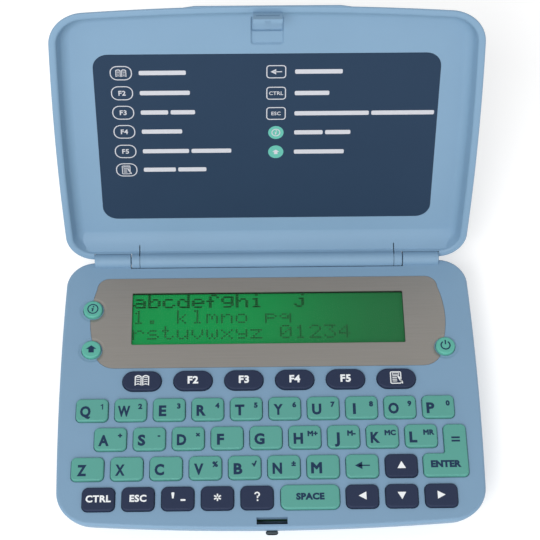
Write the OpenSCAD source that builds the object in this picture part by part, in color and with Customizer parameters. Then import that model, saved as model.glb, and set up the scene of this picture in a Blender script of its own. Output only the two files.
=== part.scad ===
// Pocket electronic dictionary: a clamshell case with a small screen and a
// full letter keyboard, shown with its lid open.
// Millimetres. X runs to the right, Y to the back and Z up. The origin is
// the middle of the flat underside, and the hinge line is at the back.
// Both halves share one outline, mirrored about the hinge line.

/* [Case] */
// Width of both halves between their corners
body_w = 127.4; // [126:0.2:150]
// Depth of both halves from the hinge line to the middle of the front
body_d = 91.5; // [91:0.5:110]
// Height of the base from its underside to the deck
base_h = 16.5; // [16.5:0.5:22]
// Height at which the two base shells part
part_h = 9; // [7:0.5:9.5]
// Outward bow of each side edge
side_bow = 0.6; // [0:0.1:1.5]
// Outward bow of the front edge
front_bow = 1.8; // [0:0.1:3]
// Corner radius at the front
front_corner_r = 11; // [8:0.5:14]
// Corner radius beside the hinge
rear_corner_r = 9; // [7:0.5:11]
// Thickness of the side walls
wall_t = 2; // [1.6:0.1:2.2]
// Thickness of the deck that the keys come through
deck_t = 1.8; // [1.4:0.1:2.2]
// Thickness of the base's floor
floor_t = 2; // [1.6:0.1:2.2]
// How far the underside is drawn in from the rim all round
base_tuck = 11.5; // [9:0.5:12]
// Rounding of the deck's edge
deck_edge_r = 0.8; // [0.4:0.1:1.2]
// Gap between the lid and the base when closed
parting_gap = 0.3; // [0.2:0.1:0.6]

/* [Lid] */
// Height of the lid from its rim to its outer face
lid_h = 6.5; // [6.5:0.5:10]
// How far the lid's outer face is drawn in from the rim
lid_tuck = 8; // [5:0.5:9]
// Slant of the lid's side near its rim, inwards per height
lid_slant = 0.4; // [0:0.05:0.45]
// Depth of the hollow inside the lid
lid_hollow = 4.6; // [4:0.2:4.8]
// Fillet between the hollow's wall and its floor
hollow_fillet = 2; // [1:0.5:3]
// Angle through which the lid closes from its open stop
lid_travel = 111; // [95:1:120]
// Width of the legend card
card_w = 103.3; // [90:0.1:112]
// Height of the legend card
card_h = 59.9; // [50:0.1:64]
// Distance from the hinge line to the legend card
card_inset = 13.4; // [12:0.1:18]
// Thickness of the legend card
card_t = 0.5; // [0.3:0.1:0.8]
// Corner radius of the legend card
card_r = 4.5; // [2:0.5:8]

/* [Hinge] */
// Radius of the lid's hinge barrel
barrel_r = 2.55; // [2.4:0.05:2.8]
// Length of the lid's hinge barrel
barrel_len = 86.4; // [70:0.4:90]
// Running gap round and beside the barrel
barrel_gap = 0.3; // [0.25:0.05:0.4]
// Width of the slits that let the barrel's ends spring inwards
slit_w = 0.4; // [0.3:0.1:0.6]
// Distance from the barrel's ends to the slits
slit_inset = 2.7; // [2.2:0.1:4]
// Radius of the stub pins at the barrel's ends
stub_r = 1; // [0.8:0.05:1.2]
// Radial running clearance of the stub pins
stub_clear = 0.05; // [0.03:0.01:0.08]
// Length of the stub pins
stub_len = 3; // [2:0.1:4]
// Width of the ears on the base that hold the stub pins
ear_w = 11.5; // [5:0.1:12]

/* [Latch] */
// Width of the hook on the lid
hook_w = 8.4; // [7:0.1:10]
// Thickness of the hook
hook_t = 1.35; // [1.1:0.05:1.5]
// How far the hook reaches past the lid's rim
hook_len = 4.6; // [4:0.1:4.8]
// Distance from the middle of the front edge to the hook
hook_setback = 1.75; // [1.6:0.05:2]
// Depth of the groove in the hook
groove_d = 0.5; // [0.3:0.1:0.6]
// Clearance between the hook and its slot in the deck
slot_gap = 0.35; // [0.3:0.05:0.5]
// Width of the release button
release_w = 3.8; // [3:0.1:5]
// Height of the release button
release_h = 2.8; // [2.4:0.1:2.9]
// How far the release button stands out of the front wall
release_proud = 1.1; // [0.8:0.1:1.4]
// Travel of the release button
release_travel = 0.9; // [0.5:0.1:1]

/* [Display] */
// Distance from the hinge line to the display plate
plate_inset = 6.6; // [6.4:0.1:8]
// Depth of the display plate, front to back
plate_d = 31.9; // [30:0.1:32.2]
// Width of the display plate at its corners
plate_w = 107.8; // [100:0.2:110]
// Outward bow of the display plate's ends
plate_bow = 1.8; // [0:0.1:2]
// Thickness of the display plate
plate_t = 0.4; // [0.3:0.1:0.5]
// Width of the clear window
window_w = 85.5; // [80:0.1:88]
// Depth of the clear window, front to back
window_d = 18.6; // [16:0.1:19]
// Distance from the hinge line to the window
window_inset = 11.8; // [11:0.1:12.5]
// Thickness of the window pane
pane_t = 0.8; // [0.5:0.1:0.8]
// How far the pane reaches under the plate on every side
pane_lap = 1.4; // [1:0.1:1.6]
// Thickness of the liquid crystal panel
lcd_t = 1.6; // [1.2:0.1:1.6]
// How far the liquid crystal panel reaches past the window
lcd_lap = 3; // [2:0.5:3.5]

/* [Keyboard] */
// Distance between letter keys along a row
key_pitch = 11.69; // [11.5:0.01:11.8]
// Distance between letter rows
row_pitch = 9.67; // [9.5:0.01:9.8]
// Distance from the front edge to the middle of the front row
front_row_inset = 9.5; // [8.8:0.1:9.8]
// Distance from the top letter row to the function row
function_row_gap = 9.8; // [9.3:0.1:10]
// Width of a letter key
key_w = 9.7; // [9:0.1:9.8]
// Depth of a letter key
key_d = 7.5; // [7:0.1:7.7]
// Corner radius of a letter key
key_r = 1.5; // [1.2:0.1:2]
// Width of a dark control key
control_w = 10; // [9:0.1:10.1]
// Depth of a dark control key
control_d = 7.7; // [7:0.1:7.9]
// Corner radius of a dark control key
control_r = 2; // [1.2:0.1:2.4]
// Width of a function key
pill_w = 11.9; // [10:0.1:13]
// Depth of a function key
pill_d = 6.6; // [6:0.1:7.2]
// Corner radius of a function key
pill_r = 3.2; // [2:0.1:3.4]
// Distance between function keys
pill_pitch = 15.62; // [14.5:0.01:16]
// Width of the space key
space_w = 17.4; // [15:0.1:17.6]
// Diameter of a round key
round_d = 6; // [5:0.1:6.4]
// Height of the keys above the deck
key_proud = 0.9; // [0.8:0.1:1.8]
// Chamfer round the top of a key
key_edge = 0.5; // [0.3:0.1:0.7]
// Key travel
key_travel = 0.7; // [0.4:0.1:0.9]
// Clearance between a key and its hole
key_gap = 0.25; // [0.2:0.05:0.3]
// Width of the flange that keeps a key under the deck
flange_w = 0.5; // [0.4:0.05:0.5]
// Thickness of the flange
flange_t = 1; // [0.8:0.1:1.1]
// Middle of the first key of each letter row, from the case's middle
row_starts = [-53.94, -48.1, -54.61]; // [-60:0.01:-40]
// Middle of the first key of the front row, from the case's middle
front_row_start = -51.04; // [-52:0.01:-50]
// Middle of the space key, from the case's middle
space_x = 11.4; // [11:0.1:11.6]
// Middle of the first arrow key, from the case's middle
arrows_x = 26.81; // [26.6:0.01:27.5]
// Right edge of the corner key, from the case's middle
corner_key_x = 59; // [58.6:0.1:59.2]
// Width of the corner key's upper arm
corner_arm_w = 6.8; // [6:0.1:6.9]
// Width of the corner key's foot
corner_foot_w = 13.7; // [12:0.1:13.8]

/* [Inside] */
// Diameter of a battery cell
cell_d = 10.4; // [10:0.1:10.5]
// Length of a battery cell with its cap
cell_len = 44.5; // [44:0.1:44.6]
// Distance from the hinge line to the middle of the cells
cell_inset = 19.75; // [19.5:0.25:20.5]
// Thickness of the battery cover
cover_t = 1.6; // [1.4:0.1:1.6]
// Width of the battery cover
cover_w = 97; // [96:0.2:98]
// Clearance round the battery cover
cover_gap = 0.3; // [0.25:0.05:0.4]
// Thickness of the circuit board
board_t = 1; // [0.8:0.1:1.2]
// Thickness of the rubber key mat
mat_t = 0.5; // [0.4:0.1:0.6]
// Radius of a case screw's shank
screw_r = 1.1; // [0.9:0.1:1.2]
// Radius of a case screw's head
screw_head_r = 2; // [1.8:0.1:2.1]

/* [Hidden] */
case_blue = "#84A3C1";
key_teal = "#61A398";
key_navy = "#343C52";

hinge_y = body_d / 2;
axis_z = base_h + parting_gap / 2;
edge_gap = parting_gap;
rim_z = base_h - deck_edge_r;
deck_z = base_h - deck_t;
front_y = hinge_y - body_d;
arc_steps = 6;
tiny = 0.01;
// How far a cut runs past what it cuts
past = 1;
min_corner = 0.8;

// Plan outline

function arc_points(center, r, from, to, steps) =
    [for (i = [0:steps]) let (a = from + (to - from) * i / steps)
        center + r * [cos(a), sin(a)]];

// Right half of the outline, from the end of the hinge edge round to the
// middle of the front edge. The second coordinate counts from the hinge.
function half_outline(inset) =
    let (
        side_x = body_w / 2 - inset,
        rear_r = max(rear_corner_r - inset, min_corner),
        front_r = max(front_corner_r - inset, min_corner),
        rear_c = [side_x - rear_r, -edge_gap - inset - rear_r],
        front_cx = side_x - front_r,
        slope = atan(2 * front_bow / front_cx),
        arc_end_x = front_cx + front_r * sin(slope),
        arc_end_y = -body_d + inset + front_bow,
        front_c = [front_cx, arc_end_y + front_r * cos(slope)]
    )
    concat(
        arc_points(rear_c, rear_r, 90, 0, arc_steps),
        [for (t = [-0.5, 0, 0.5])
            [side_x + side_bow * (1 - t * t),
                (rear_c.y + front_c.y) / 2 - t * (rear_c.y - front_c.y) / 2]],
        arc_points(front_c, front_r, 0, slope - 90, arc_steps),
        [for (t = [0.67, 0.33])
            [arc_end_x * t, arc_end_y - front_bow * (1 - t * t)]],
        [[0, -body_d + inset]]
    );

// Whole outline, clockwise seen from above
function outline(inset) =
    let (half = half_outline(inset), last = len(half) - 1)
    concat(half, [for (i = [last - 1:-1:0]) [-half[i].x, half[i].y]]);

function base_ring(inset, z) = [for (p = outline(inset)) [p.x, p.y + hinge_y, z]];

// The lid's own frame has the hinge axis as X, Y away from the hinge and Z
// out of the hollow, so its rings run the other way round.
function lid_ring(inset, z) = [for (p = outline(inset)) [-p.x, -p.y, z]];

// Solid skinned over closed rings of equal length, stacked upwards. Each
// end is closed by a fan of triangles round the ring's own middle.
module skin(rings) {
    n = len(rings[0]);
    last = len(rings) - 1;
    mid = (rings[0][0].y + rings[0][floor(n / 2)].y) / 2;
    low_centre = n * (last + 1);
    polyhedron(
        points = concat([for (ring = rings) each ring],
            [[0, mid, rings[0][0].z], [0, mid, rings[last][0].z]]),
        faces = [for (i = [0:n - 1]) let (j = (i + 1) % n) each concat(
            [[low_centre, j, i], [low_centre + 1, last * n + i, last * n + j]],
            [for (k = [0:last - 1]) each [
                [k * n + i, k * n + j, (k + 1) * n + j],
                [k * n + i, (k + 1) * n + j, (k + 1) * n + i]]]
        )]
    );
}

// Base profile: a quarter ellipse from the rim down to the flat underside
function tuck_at(z) = base_tuck * (1 - sqrt(max(0, 1 - pow((rim_z - z) / rim_z, 2))));
function tuck_angle(z) = asin((rim_z - z) / rim_z);
function tuck_rings(z_low, z_high, steps, extra) =
    let (from = tuck_angle(z_low), to = tuck_angle(z_high))
    [for (i = [0:steps]) let (a = from + (to - from) * i / steps)
        base_ring(base_tuck * (1 - cos(a)) + extra, rim_z * (1 - sin(a)))];
function deck_edge_rings() =
    [for (a = [30, 60, 90]) base_ring(deck_edge_r * (1 - cos(a)), rim_z + deck_edge_r * sin(a))];

// Small shapes

module round_rect(w, d, r) {
    square([w - 2 * r, d], center = true);
    square([w, d - 2 * r], center = true);
    for (x = [-1, 1], y = [-1, 1])
        translate([x * (w / 2 - r), y * (d / 2 - r)]) circle(r, $fn = 32);
}

module slab(w, d, r, z_low, z_high) {
    translate([0, 0, z_low]) linear_extrude(z_high - z_low) round_rect(w, d, r);
}

module box(x, y, z) {
    translate([x[0], y[0], z[0]]) cube([x[1] - x[0], y[1] - y[0], z[1] - z[0]]);
}

module rod_x(r, x_low, x_high) {
    translate([x_low, 0, 0]) rotate([0, 90, 0]) cylinder(r = r, h = x_high - x_low, $fn = 48);
}

module both_sides() {
    children();
    mirror([1, 0, 0]) children();
}

module at_hinge() {
    translate([0, hinge_y, axis_z]) children();
}

// Keyboard layout: name, kind, and place from the case's middle

front_row_y = front_y + front_row_inset;
top_row_y = front_row_y + 3 * row_pitch;
function_row_y = top_row_y + function_row_gap;
letter_rows = ["qwertyuiop", "asdfghjkl", "zxcvbnm"];
front_row_names = ["control", "escape", "apostrophe", "star", "question"];
arrow_names = ["left", "down", "right"];
side_key_out = 1.1;
side_key_x = plate_w / 2 + side_key_out;
info_key_inset = 17.9;
shift_key_inset = 32.1;
info_key_y = hinge_y - info_key_inset;
shift_key_y = hinge_y - shift_key_inset;

keys = concat(
    [for (i = [0:5])
        [str("key_function_", i + 1), "pill", (i - 2.5) * pill_pitch, function_row_y]],
    [for (r = [0:2], i = [0:len(letter_rows[r]) - 1])
        [str("key_", letter_rows[r][i]), "letter",
            row_starts[r] + i * key_pitch, top_row_y - r * row_pitch]],
    [["key_backspace", "letter", row_starts[2] + 7 * key_pitch, top_row_y - 2 * row_pitch],
        ["key_up", "control", row_starts[2] + 8 * key_pitch, top_row_y - 2 * row_pitch],
        ["key_enter", "corner", corner_key_x, top_row_y - 1.5 * row_pitch],
        ["key_space", "space", space_x, front_row_y],
        ["key_info", "round", -side_key_x, info_key_y],
        ["key_shift", "round", -side_key_x, shift_key_y],
        ["key_power", "round", side_key_x, shift_key_y]],
    [for (i = [0:4])
        [str("key_", front_row_names[i]), "control",
            front_row_start + i * key_pitch, front_row_y]],
    [for (i = [0:2])
        [str("key_", arrow_names[i]), "control", arrows_x + i * key_pitch, front_row_y]]
);

key_names = [for (k = keys) k[0]];

function is_dark(kind) = kind == "pill" || kind == "control";

// Width, depth and corner radius of each kind of plain key
function key_size(kind) =
    kind == "pill" ? [pill_w, pill_d, pill_r] :
    kind == "control" ? [control_w, control_d, control_r] :
    kind == "space" ? [space_w, control_d, control_r] :
    [key_w, key_d, key_r];

// The corner key is an upright arm with a foot to the left. Its two blocks
// are given by their corners, counted from its right edge and middle height.
corner_half_d = (row_pitch + key_d) / 2;
corner_blocks = [
    [[-corner_arm_w, -corner_half_d], [0, corner_half_d]],
    [[-corner_foot_w, -corner_half_d], [0, -corner_half_d + key_d]]
];

// Outline of a key seen from above
module key_plan(kind, grow) {
    if (kind == "round") circle(round_d / 2 + grow, $fn = 48);
    else if (kind == "corner")
        for (b = corner_blocks)
            translate((b[0] + b[1]) / 2)
                round_rect(b[1].x - b[0].x + 2 * grow, b[1].y - b[0].y + 2 * grow, key_r + grow);
    else {
        s = key_size(kind);
        round_rect(s[0] + 2 * grow, s[1] + 2 * grow, s[2] + grow);
    }
}

flange_top = deck_z - key_gap;
key_top = base_h + key_proud;

// Block with upright rounded corners and a chamfered top edge
module cap_block(w, d, r, z_low, z_high) {
    hull()
        for (x = [-1, 1], y = [-1, 1])
            translate([x * (w / 2 - r), y * (d / 2 - r), z_low]) {
                cylinder(r = r, h = z_high - z_low - key_edge, $fn = 16);
                cylinder(r = r - key_edge, h = z_high - z_low, $fn = 16);
            }
}

module round_cap() {
    r = round_d / 2;
    translate([0, 0, flange_top - tiny])
        rotate_extrude($fn = 48) {
            square([r - key_edge, key_top - flange_top + tiny]);
            square([r, key_top - flange_top + tiny - key_edge]);
            translate([r - key_edge, key_top - flange_top + tiny - key_edge])
                circle(key_edge, $fn = 24);
        }
}

module key_body(kind) {
    if (kind == "round") round_cap();
    else if (kind == "corner")
        for (b = corner_blocks)
            translate([(b[0].x + b[1].x) / 2, (b[0].y + b[1].y) / 2, 0])
                cap_block(b[1].x - b[0].x, b[1].y - b[0].y, key_r, flange_top - tiny, key_top);
    else {
        s = key_size(kind);
        cap_block(s[0], s[1], s[2], flange_top - tiny, key_top);
    }
    translate([0, 0, flange_top - flange_t]) linear_extrude(flange_t) key_plan(kind, flange_w);
}

module key(k) {
    color(is_dark(k[1]) ? key_navy : key_teal)
        translate([k[2], k[3], 0]) key_body(k[1]);
}

// Display stack, from the top down

plate_z = base_h - plate_t;
pane_z = plate_z - pane_t;
stack_gap = 0.05;
lcd_z = deck_z - stack_gap - lcd_t;
window_y = hinge_y - window_inset - window_d / 2;
window_r = 0.5;
pane_r = 1;
plate_corner_r = 3.8;
plate_low_corner_r = 6;
// The plate ends at a dish round each round key
key_room = 0.4;
key_room_r = round_d / 2 + key_room;
dish_w = 0.9;
dish_d = 0.25;
seat_gap = 0.1;

function half_plate(grow) =
    let (
        top = -plate_inset + grow,
        bottom = -plate_inset - plate_d - grow,
        x = plate_w / 2 + grow,
        r = plate_corner_r + grow,
        q = plate_low_corner_r + grow
    )
    concat(
        arc_points([x - r, top - r], r, 90, 0, arc_steps),
        [for (t = [0.75, 0.5, 0.25, 0, -0.25, -0.5, -0.75])
            [x + plate_bow * (1 - t * t),
                (top - r + bottom + q) / 2 + t * (top - r - bottom - q) / 2]],
        arc_points([x - q, bottom + q], q, 0, -90, arc_steps)
    );

// Shallow dishes round the round keys, in the deck and the plate
module key_dishes() {
    for (k = keys)
        if (k[1] == "round") translate([k[2], k[3], base_h - dish_d])
            cylinder(r1 = key_room_r, r2 = key_room_r + dish_w * 2, h = dish_d * 2, $fn = 64);
}

// Plate with bowed ends, holed for the round keys
module plate_plan(grow) {
    half = half_plate(grow);
    last = len(half) - 1;
    difference() {
        translate([0, hinge_y])
            polygon(concat(half, [for (i = [last:-1:0]) [-half[i].x, half[i].y]]));
        for (k = keys)
            if (k[1] == "round") translate([k[2], k[3]]) circle(key_room_r - grow, $fn = 64);
    }
}

module display_bezel() {
    color("#8C8883") difference() {
        translate([0, 0, plate_z]) linear_extrude(plate_t) plate_plan(0);
        translate([0, window_y, 0])
            slab(window_w, window_d, window_r, plate_z - past, base_h + past);
        key_dishes();
    }
}

module display_window() {
    color("#9FB8A8", 0.4)
        translate([0, window_y, 0])
            slab(window_w + 2 * pane_lap, window_d + 2 * pane_lap, pane_r,
                pane_z + tiny, plate_z - tiny);
}

ribbon_w = 40;
ribbon_t = 0.3;

module lcd_panel() {
    lcd_w = window_w + 2 * lcd_lap;
    lcd_d = window_d + 2 * lcd_lap;
    color("#2E8B57") {
        translate([0, window_y, 0]) slab(lcd_w, lcd_d, 0.4, lcd_z, lcd_z + lcd_t);
        box([-ribbon_w / 2, ribbon_w / 2],
            [window_y - lcd_d / 2 - ribbon_t, window_y - lcd_d / 2 + ribbon_t],
            [board_top, lcd_z + lcd_t / 2]);
    }
}

// Latch

// The hook swings in on an arc, so its slot has more room in front of it
hook_swing = 0.2;
hook_out_y = front_y + hook_setback;
hook_in_y = hook_out_y + hook_t;
slot_out_y = hook_out_y - slot_gap - hook_swing;
slot_in_y = hook_in_y + slot_gap;
hook_tip_z = base_h - hook_len + parting_gap;
// The hook's tip, its groove and the notch in its inner side
hook_point_h = 1.4;
groove_h = 1;
groove_end_w = 0.85;
notch_w = 1.5;
notch_d = 0.8;
notch_h = 1;
groove_low = hook_tip_z + hook_point_h;
ledge_d = 0.2;
ledge_gap = 0.15;
pocket_low = part_h + tiny;
release_drop = 0.6;
release_z = hook_tip_z - release_drop;
release_low = release_z - release_h / 2;
release_r = 0.6;
release_nose_cut = 24;
release_nose_in = 0.35;
release_trim = 0.1;
release_neck_step = 0.3;
release_flange_w = 14;
release_flange_t = 0.8;
release_flange_top = hook_tip_z - parting_gap;
release_arm_x = 12;
release_arm_t = 0.6;
release_arm_step = 0.4;
wall_gap = 0.3;
front_skin_y = front_y + tuck_at(release_z);

// Room behind the front wall for the hook and for the button's flange
module latch_room() {
    slot_x = hook_w / 2 + slot_gap;
    arm_room = release_arm_x + wall_gap;
    box([-slot_x, slot_x], [slot_out_y, slot_in_y], [pocket_low + past, base_h + past]);
    box([-arm_room, arm_room], [slot_out_y, slot_in_y], [pocket_low, release_flange_top + wall_gap]);
}

// Shallow ledge that the hook's groove snaps under
module latch_ledge() {
    ledge_x = hook_w / 2 - groove_end_w - ledge_gap;
    box([-ledge_x, ledge_x], [slot_out_y - ledge_d, slot_out_y + ledge_d],
        [groove_low + ledge_gap, groove_low + groove_h - ledge_gap]);
}

module release_hole() {
    translate([0, slot_out_y + past, release_z]) rotate([90, 0, 0])
        linear_extrude(base_tuck)
            round_rect(release_w + 2 * wall_gap, release_h + 2 * wall_gap, release_r + wall_gap);
}

// Push button with a flange and two spring arms moulded on
module release_button() {
    nose_y = slot_out_y - release_travel + release_nose_in;
    flange_y = slot_out_y + wall_gap;
    neck_x = release_w / 2 - release_neck_step;
    color("#20242C") {
        difference() {
            translate([0, nose_y, release_z]) rotate([90, 0, 0])
                linear_extrude(nose_y - front_skin_y + release_proud)
                    round_rect(release_w, release_h, release_r);
            translate([0, front_skin_y - release_proud, release_z])
                for (s = [-1, 1])
                    rotate([0, 0, s * release_nose_cut]) translate([s * release_w * 0.85, -1, 0])
                        cube([release_w, 2, release_h + 2 * past], center = true);
        }
        box([-neck_x, neck_x], [nose_y - release_arm_t, flange_y + tiny],
            [release_low + release_trim, release_flange_top - release_trim]);
        box([-release_flange_w / 2, release_flange_w / 2], [flange_y, flange_y + release_flange_t],
            [release_low + release_trim, release_flange_top - release_trim]);
        both_sides() box([release_flange_w / 2 - past, release_arm_x],
            [flange_y + release_flange_t - release_arm_t, flange_y + release_flange_t],
            [release_low + release_arm_step, release_flange_top - release_arm_step]);
    }
}

// Hinge

barrel_x = barrel_len / 2;
channel_r = barrel_r + barrel_gap;
channel_x = barrel_x + barrel_gap;
ear_step = 0.15;
ear_r = barrel_r - ear_step;
ear_x = channel_x + ear_w;
stub_end_gap = 0.2;
trough_t = 1.5;

// Trough under the barrel, inside the top shell
module hinge_trough() {
    trough_r = channel_r + trough_t;
    intersection() {
        at_hinge() rod_x(trough_r, -ear_x - past, ear_x + past);
        box([-body_w, body_w], [hinge_y - trough_r - past, hinge_y - past],
            [axis_z - trough_r - past, base_h - deck_t / 2]);
    }
}

module ears() {
    both_sides() at_hinge() rod_x(ear_r, channel_x, ear_x);
}

// Screws that hold the shells together

screw_side_inset = 10.4;
rear_screw_inset = 10.9;
row_screw_offset = 0.6;
screw_x = body_w / 2 - screw_side_inset;
screw_ys = [hinge_y - rear_screw_inset, function_row_y + row_screw_offset];
boss_r = 2.8;
// The lower bosses are wider, because the screw heads lie in them
low_boss_r = boss_r + 0.4;
head_seat_z = 5.4;
head_gap = 0.3;
shank_gap = 0.15;
thread_gap = 0.05;
screw_head_h = 1.5;
screw_tip_z = 12.6;
screw_end_gap = 0.3;
recess_w = 0.5;
recess_len = 2.2;
recess_d = 0.6;

module each_screw() {
    for (y = screw_ys) both_sides() translate([screw_x, y, 0]) children();
}

// Top shell of the base: deck, upper side wall, hinge ears and screw bosses
module base_top_shell() {
    color(case_blue) difference() {
        union() {
            skin(concat(
                tuck_rings(deck_z, part_h, 2, wall_t),
                tuck_rings(part_h, rim_z, 3, 0),
                deck_edge_rings()));
            hinge_trough();
            ears();
            each_screw() translate([0, 0, part_h + tiny])
                cylinder(r = boss_r, h = deck_z - part_h + deck_t / 2, $fn = 32);
        }
        at_hinge() rod_x(channel_r, -channel_x, channel_x);
        both_sides() at_hinge() rod_x(stub_r + stub_clear, channel_x - past,
            channel_x + stub_len);
        each_screw() translate([0, 0, part_h - past])
            cylinder(r = screw_r + thread_gap, h = screw_tip_z + screw_end_gap - part_h + past, $fn = 32);
        for (k = keys)
            translate([k[2], k[3], deck_z - past])
                linear_extrude(deck_t + 2 * past) key_plan(k[1], key_gap);
        translate([0, 0, plate_z - tiny]) linear_extrude(plate_t + past) plate_plan(seat_gap);
        key_dishes();
        translate([0, window_y, 0]) {
            slab(window_w + 2 * (pane_lap + seat_gap), window_d + 2 * (pane_lap + seat_gap),
                pane_r + seat_gap, pane_z, base_h + past);
            slab(window_w, window_d, window_r, deck_z - past, base_h + past);
        }
        latch_room();
        release_hole();
    }
    color(case_blue) latch_ledge();
}

// Battery bay in the bottom shell

cell_play = 0.25;
bay_side_gap = 0.5;
bay_end_room = 2.7;
bay_wall = 1.2;
bay_roof_t = 0.5;
cell_y = hinge_y - cell_inset;
cell_z = cover_t + cell_play + cell_d / 2;
bay_x = cell_len + bay_end_room;
bay_half_d = cell_d / 2 + bay_side_gap;
bay_top = lcd_z - stack_gap;
// The cover laps over the bay's front wall and runs out through the rear edge
cover_lap = 1.6;
cover_front_y = cell_y - bay_half_d - bay_wall - cover_lap;
cover_rear_y = hinge_y + past;
rail_w = 1;
rail_low = 0.7;
rail_high = 1.2;
rail_setback = 1;
rail_short = 1.5;
rail_stop_gap = 3;
bay_frame_t = 1.3;
bay_frame_lap = 1.4;
bay_frame_inset = 8;
bay_frame_y = hinge_y - bay_frame_inset;
grip_w = 18;
grip_count = 5;
grip_pitch = 1.6;
grip_groove_w = 0.8;
grip_d = 0.4;
grip_inset = 3.5;

// Battery contacts, which stand at the ends of the bay, and their leads
contact_gap = 0.2;
contact_t = 0.3;
contact_w = 8;
contact_low = 3.5;
contact_high = 4.4;
contact_pad_r = 2.2;
cell_end_gap = 0.3;
lead_w = 2;
lead_lap = 0.4;
lead_run = 2;
contact_x = bay_x - contact_gap;

module cover_space(grow) {
    box([-cover_w / 2 - grow, cover_w / 2 + grow], [cover_front_y - grow, cover_rear_y],
        [-past, cover_t + grow]);
    box([-cover_w / 2 - rail_w - grow, cover_w / 2 + rail_w + grow],
        [cover_front_y + rail_setback - grow, bay_frame_y - rail_short + rail_stop_gap],
        [rail_low - grow / 2, rail_high + grow / 2]);
}

// Battery cover: slides out to the back on two side rails
module battery_cover() {
    color(case_blue) difference() {
        union() {
            intersection() {
                skin(tuck_rings(0, 3, 4, 0));
                box([-cover_w / 2, cover_w / 2], [cover_front_y, cover_rear_y], [-past, cover_t]);
            }
            both_sides() box([cover_w / 2 - rail_w, cover_w / 2 + rail_w],
                [cover_front_y + rail_setback, bay_frame_y - rail_short], [rail_low, rail_high]);
        }
        for (i = [0:grip_count - 1])
            translate([-grip_w / 2, cover_front_y + grip_inset + i * grip_pitch, -past])
                cube([grip_w, grip_groove_w, grip_d + past]);
    }
}

// Lip of the bottom shell, which centres the top shell
lip_h = 1.2;
lip_t = 1;
lip_gap = 0.12;
lip_inset = tuck_at(part_h) + wall_t + lip_gap;

board_lift = 0.9;
board_z = part_h + board_lift;
board_top = board_z + board_t;
post_r = 1.8;
post_xs = [18, 50];
post_insets = [11, 40];

// Bottom shell of the base: floor, lower side wall, battery bay and bosses
module base_bottom_shell() {
    color(case_blue) difference() {
        union() {
            skin(concat(
                tuck_rings(0, part_h, 5, 0),
                [base_ring(lip_inset, part_h), base_ring(lip_inset, part_h + lip_h),
                    base_ring(lip_inset + lip_t, part_h + lip_h),
                    base_ring(lip_inset + lip_t, part_h - lip_h)],
                tuck_rings(part_h - 2.5 * lip_h, floor_t, 3, wall_t)));
            box([-bay_x - bay_wall, bay_x + bay_wall],
                [cell_y - bay_half_d - bay_wall, cell_y + bay_half_d + bay_wall], [cover_t, bay_top]);
            box([-cover_w / 2 - 2 * rail_w, cover_w / 2 + 2 * rail_w],
                [cover_front_y - bay_frame_lap, bay_frame_y],
                [floor_t / 2, cover_t + cover_gap + bay_frame_t]);
            each_screw() translate([0, 0, floor_t / 2])
                cylinder(r = low_boss_r, h = part_h - floor_t / 2 - tiny, $fn = 32);
            both_sides() for (x = post_xs, inset = post_insets)
                translate([x, front_y + inset, floor_t / 2])
                    cylinder(r = post_r, h = board_z - floor_t / 2, $fn = 24);
        }
        box([-bay_x, bay_x], [cell_y - bay_half_d, cell_y + bay_half_d], [-past, bay_top - bay_roof_t]);
        cover_space(cover_gap);
        each_screw() translate([0, 0, -past])
            cylinder(r = screw_head_r + head_gap, h = head_seat_z + past, $fn = 32);
        each_screw() cylinder(r = screw_r + shank_gap, h = part_h + past, $fn = 32);
        both_sides() box([contact_x - lead_w - wall_gap, bay_x],
            [cell_y - bay_half_d - bay_wall - past, cell_y],
            [board_top - lead_lap / 4, board_top + contact_t + lead_lap]);
        box([-release_arm_x - past, release_arm_x + past], [front_y - past, slot_in_y + past],
            [part_h, part_h + lip_h + past]);
    }
}

module case_screws() {
    color("#B8BBC0") each_screw() difference() {
        union() {
            translate([0, 0, head_seat_z - screw_head_h])
                cylinder(r = screw_head_r, h = screw_head_h, $fn = 32);
            translate([0, 0, head_seat_z - tiny])
                cylinder(r = screw_r, h = screw_tip_z - head_seat_z, $fn = 32);
        }
        for (a = [0, 90]) rotate([0, 0, a])
            translate([0, 0, head_seat_z - screw_head_h])
                cube([recess_len, recess_w, 2 * recess_d], center = true);
    }
}

cell_spacing = 0.2;
cap_h = 1.2;
cap_r = 1.9;

module batteries() {
    color("#B9A26A") for (s = [-1, 0])
        translate([s * cell_len + (s + 0.5) * cell_spacing, cell_y, cell_z]) rotate([0, 90, 0]) {
            cylinder(r = cell_d / 2, h = cell_len - cap_h, $fn = 48);
            cylinder(r = cap_r, h = cell_len, $fn = 32);
        }
}

// The board lies inside the lip of the bottom shell all round
board_gap = 0.4;
board_inset = lip_inset + lip_t + board_gap;
board_lap = 0.5;
wing_near = 4.4;
wing_far = 3.6;
wing_overlap = 1;
wing_y = info_key_y + 4;
mat_margin = 0.8;
mat_back_margin = 2;
dome_r = 2;
dome_gap = 0.2;
chip_x = -14;
chip_inset = 30;
chip_r = 5;
chip_t = 1.6;

// Plan shared by the circuit board and the key mat: a field under the
// letters, with a wing up each side for the round keys
module board_plan(back_y, margin) {
    difference() {
        intersection() {
            polygon([for (p = outline(board_inset + margin)) [p.x, p.y + hinge_y]]);
            union() {
                translate([-body_w / 2, front_y]) square([body_w, back_y - front_y]);
                both_sides() translate([side_key_x - wing_near, back_y - wing_overlap])
                    square([wing_near + wing_far, wing_y - back_y + wing_overlap]);
            }
        }
        each_screw() circle(boss_r + board_gap, $fn = 32);
    }
}

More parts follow.
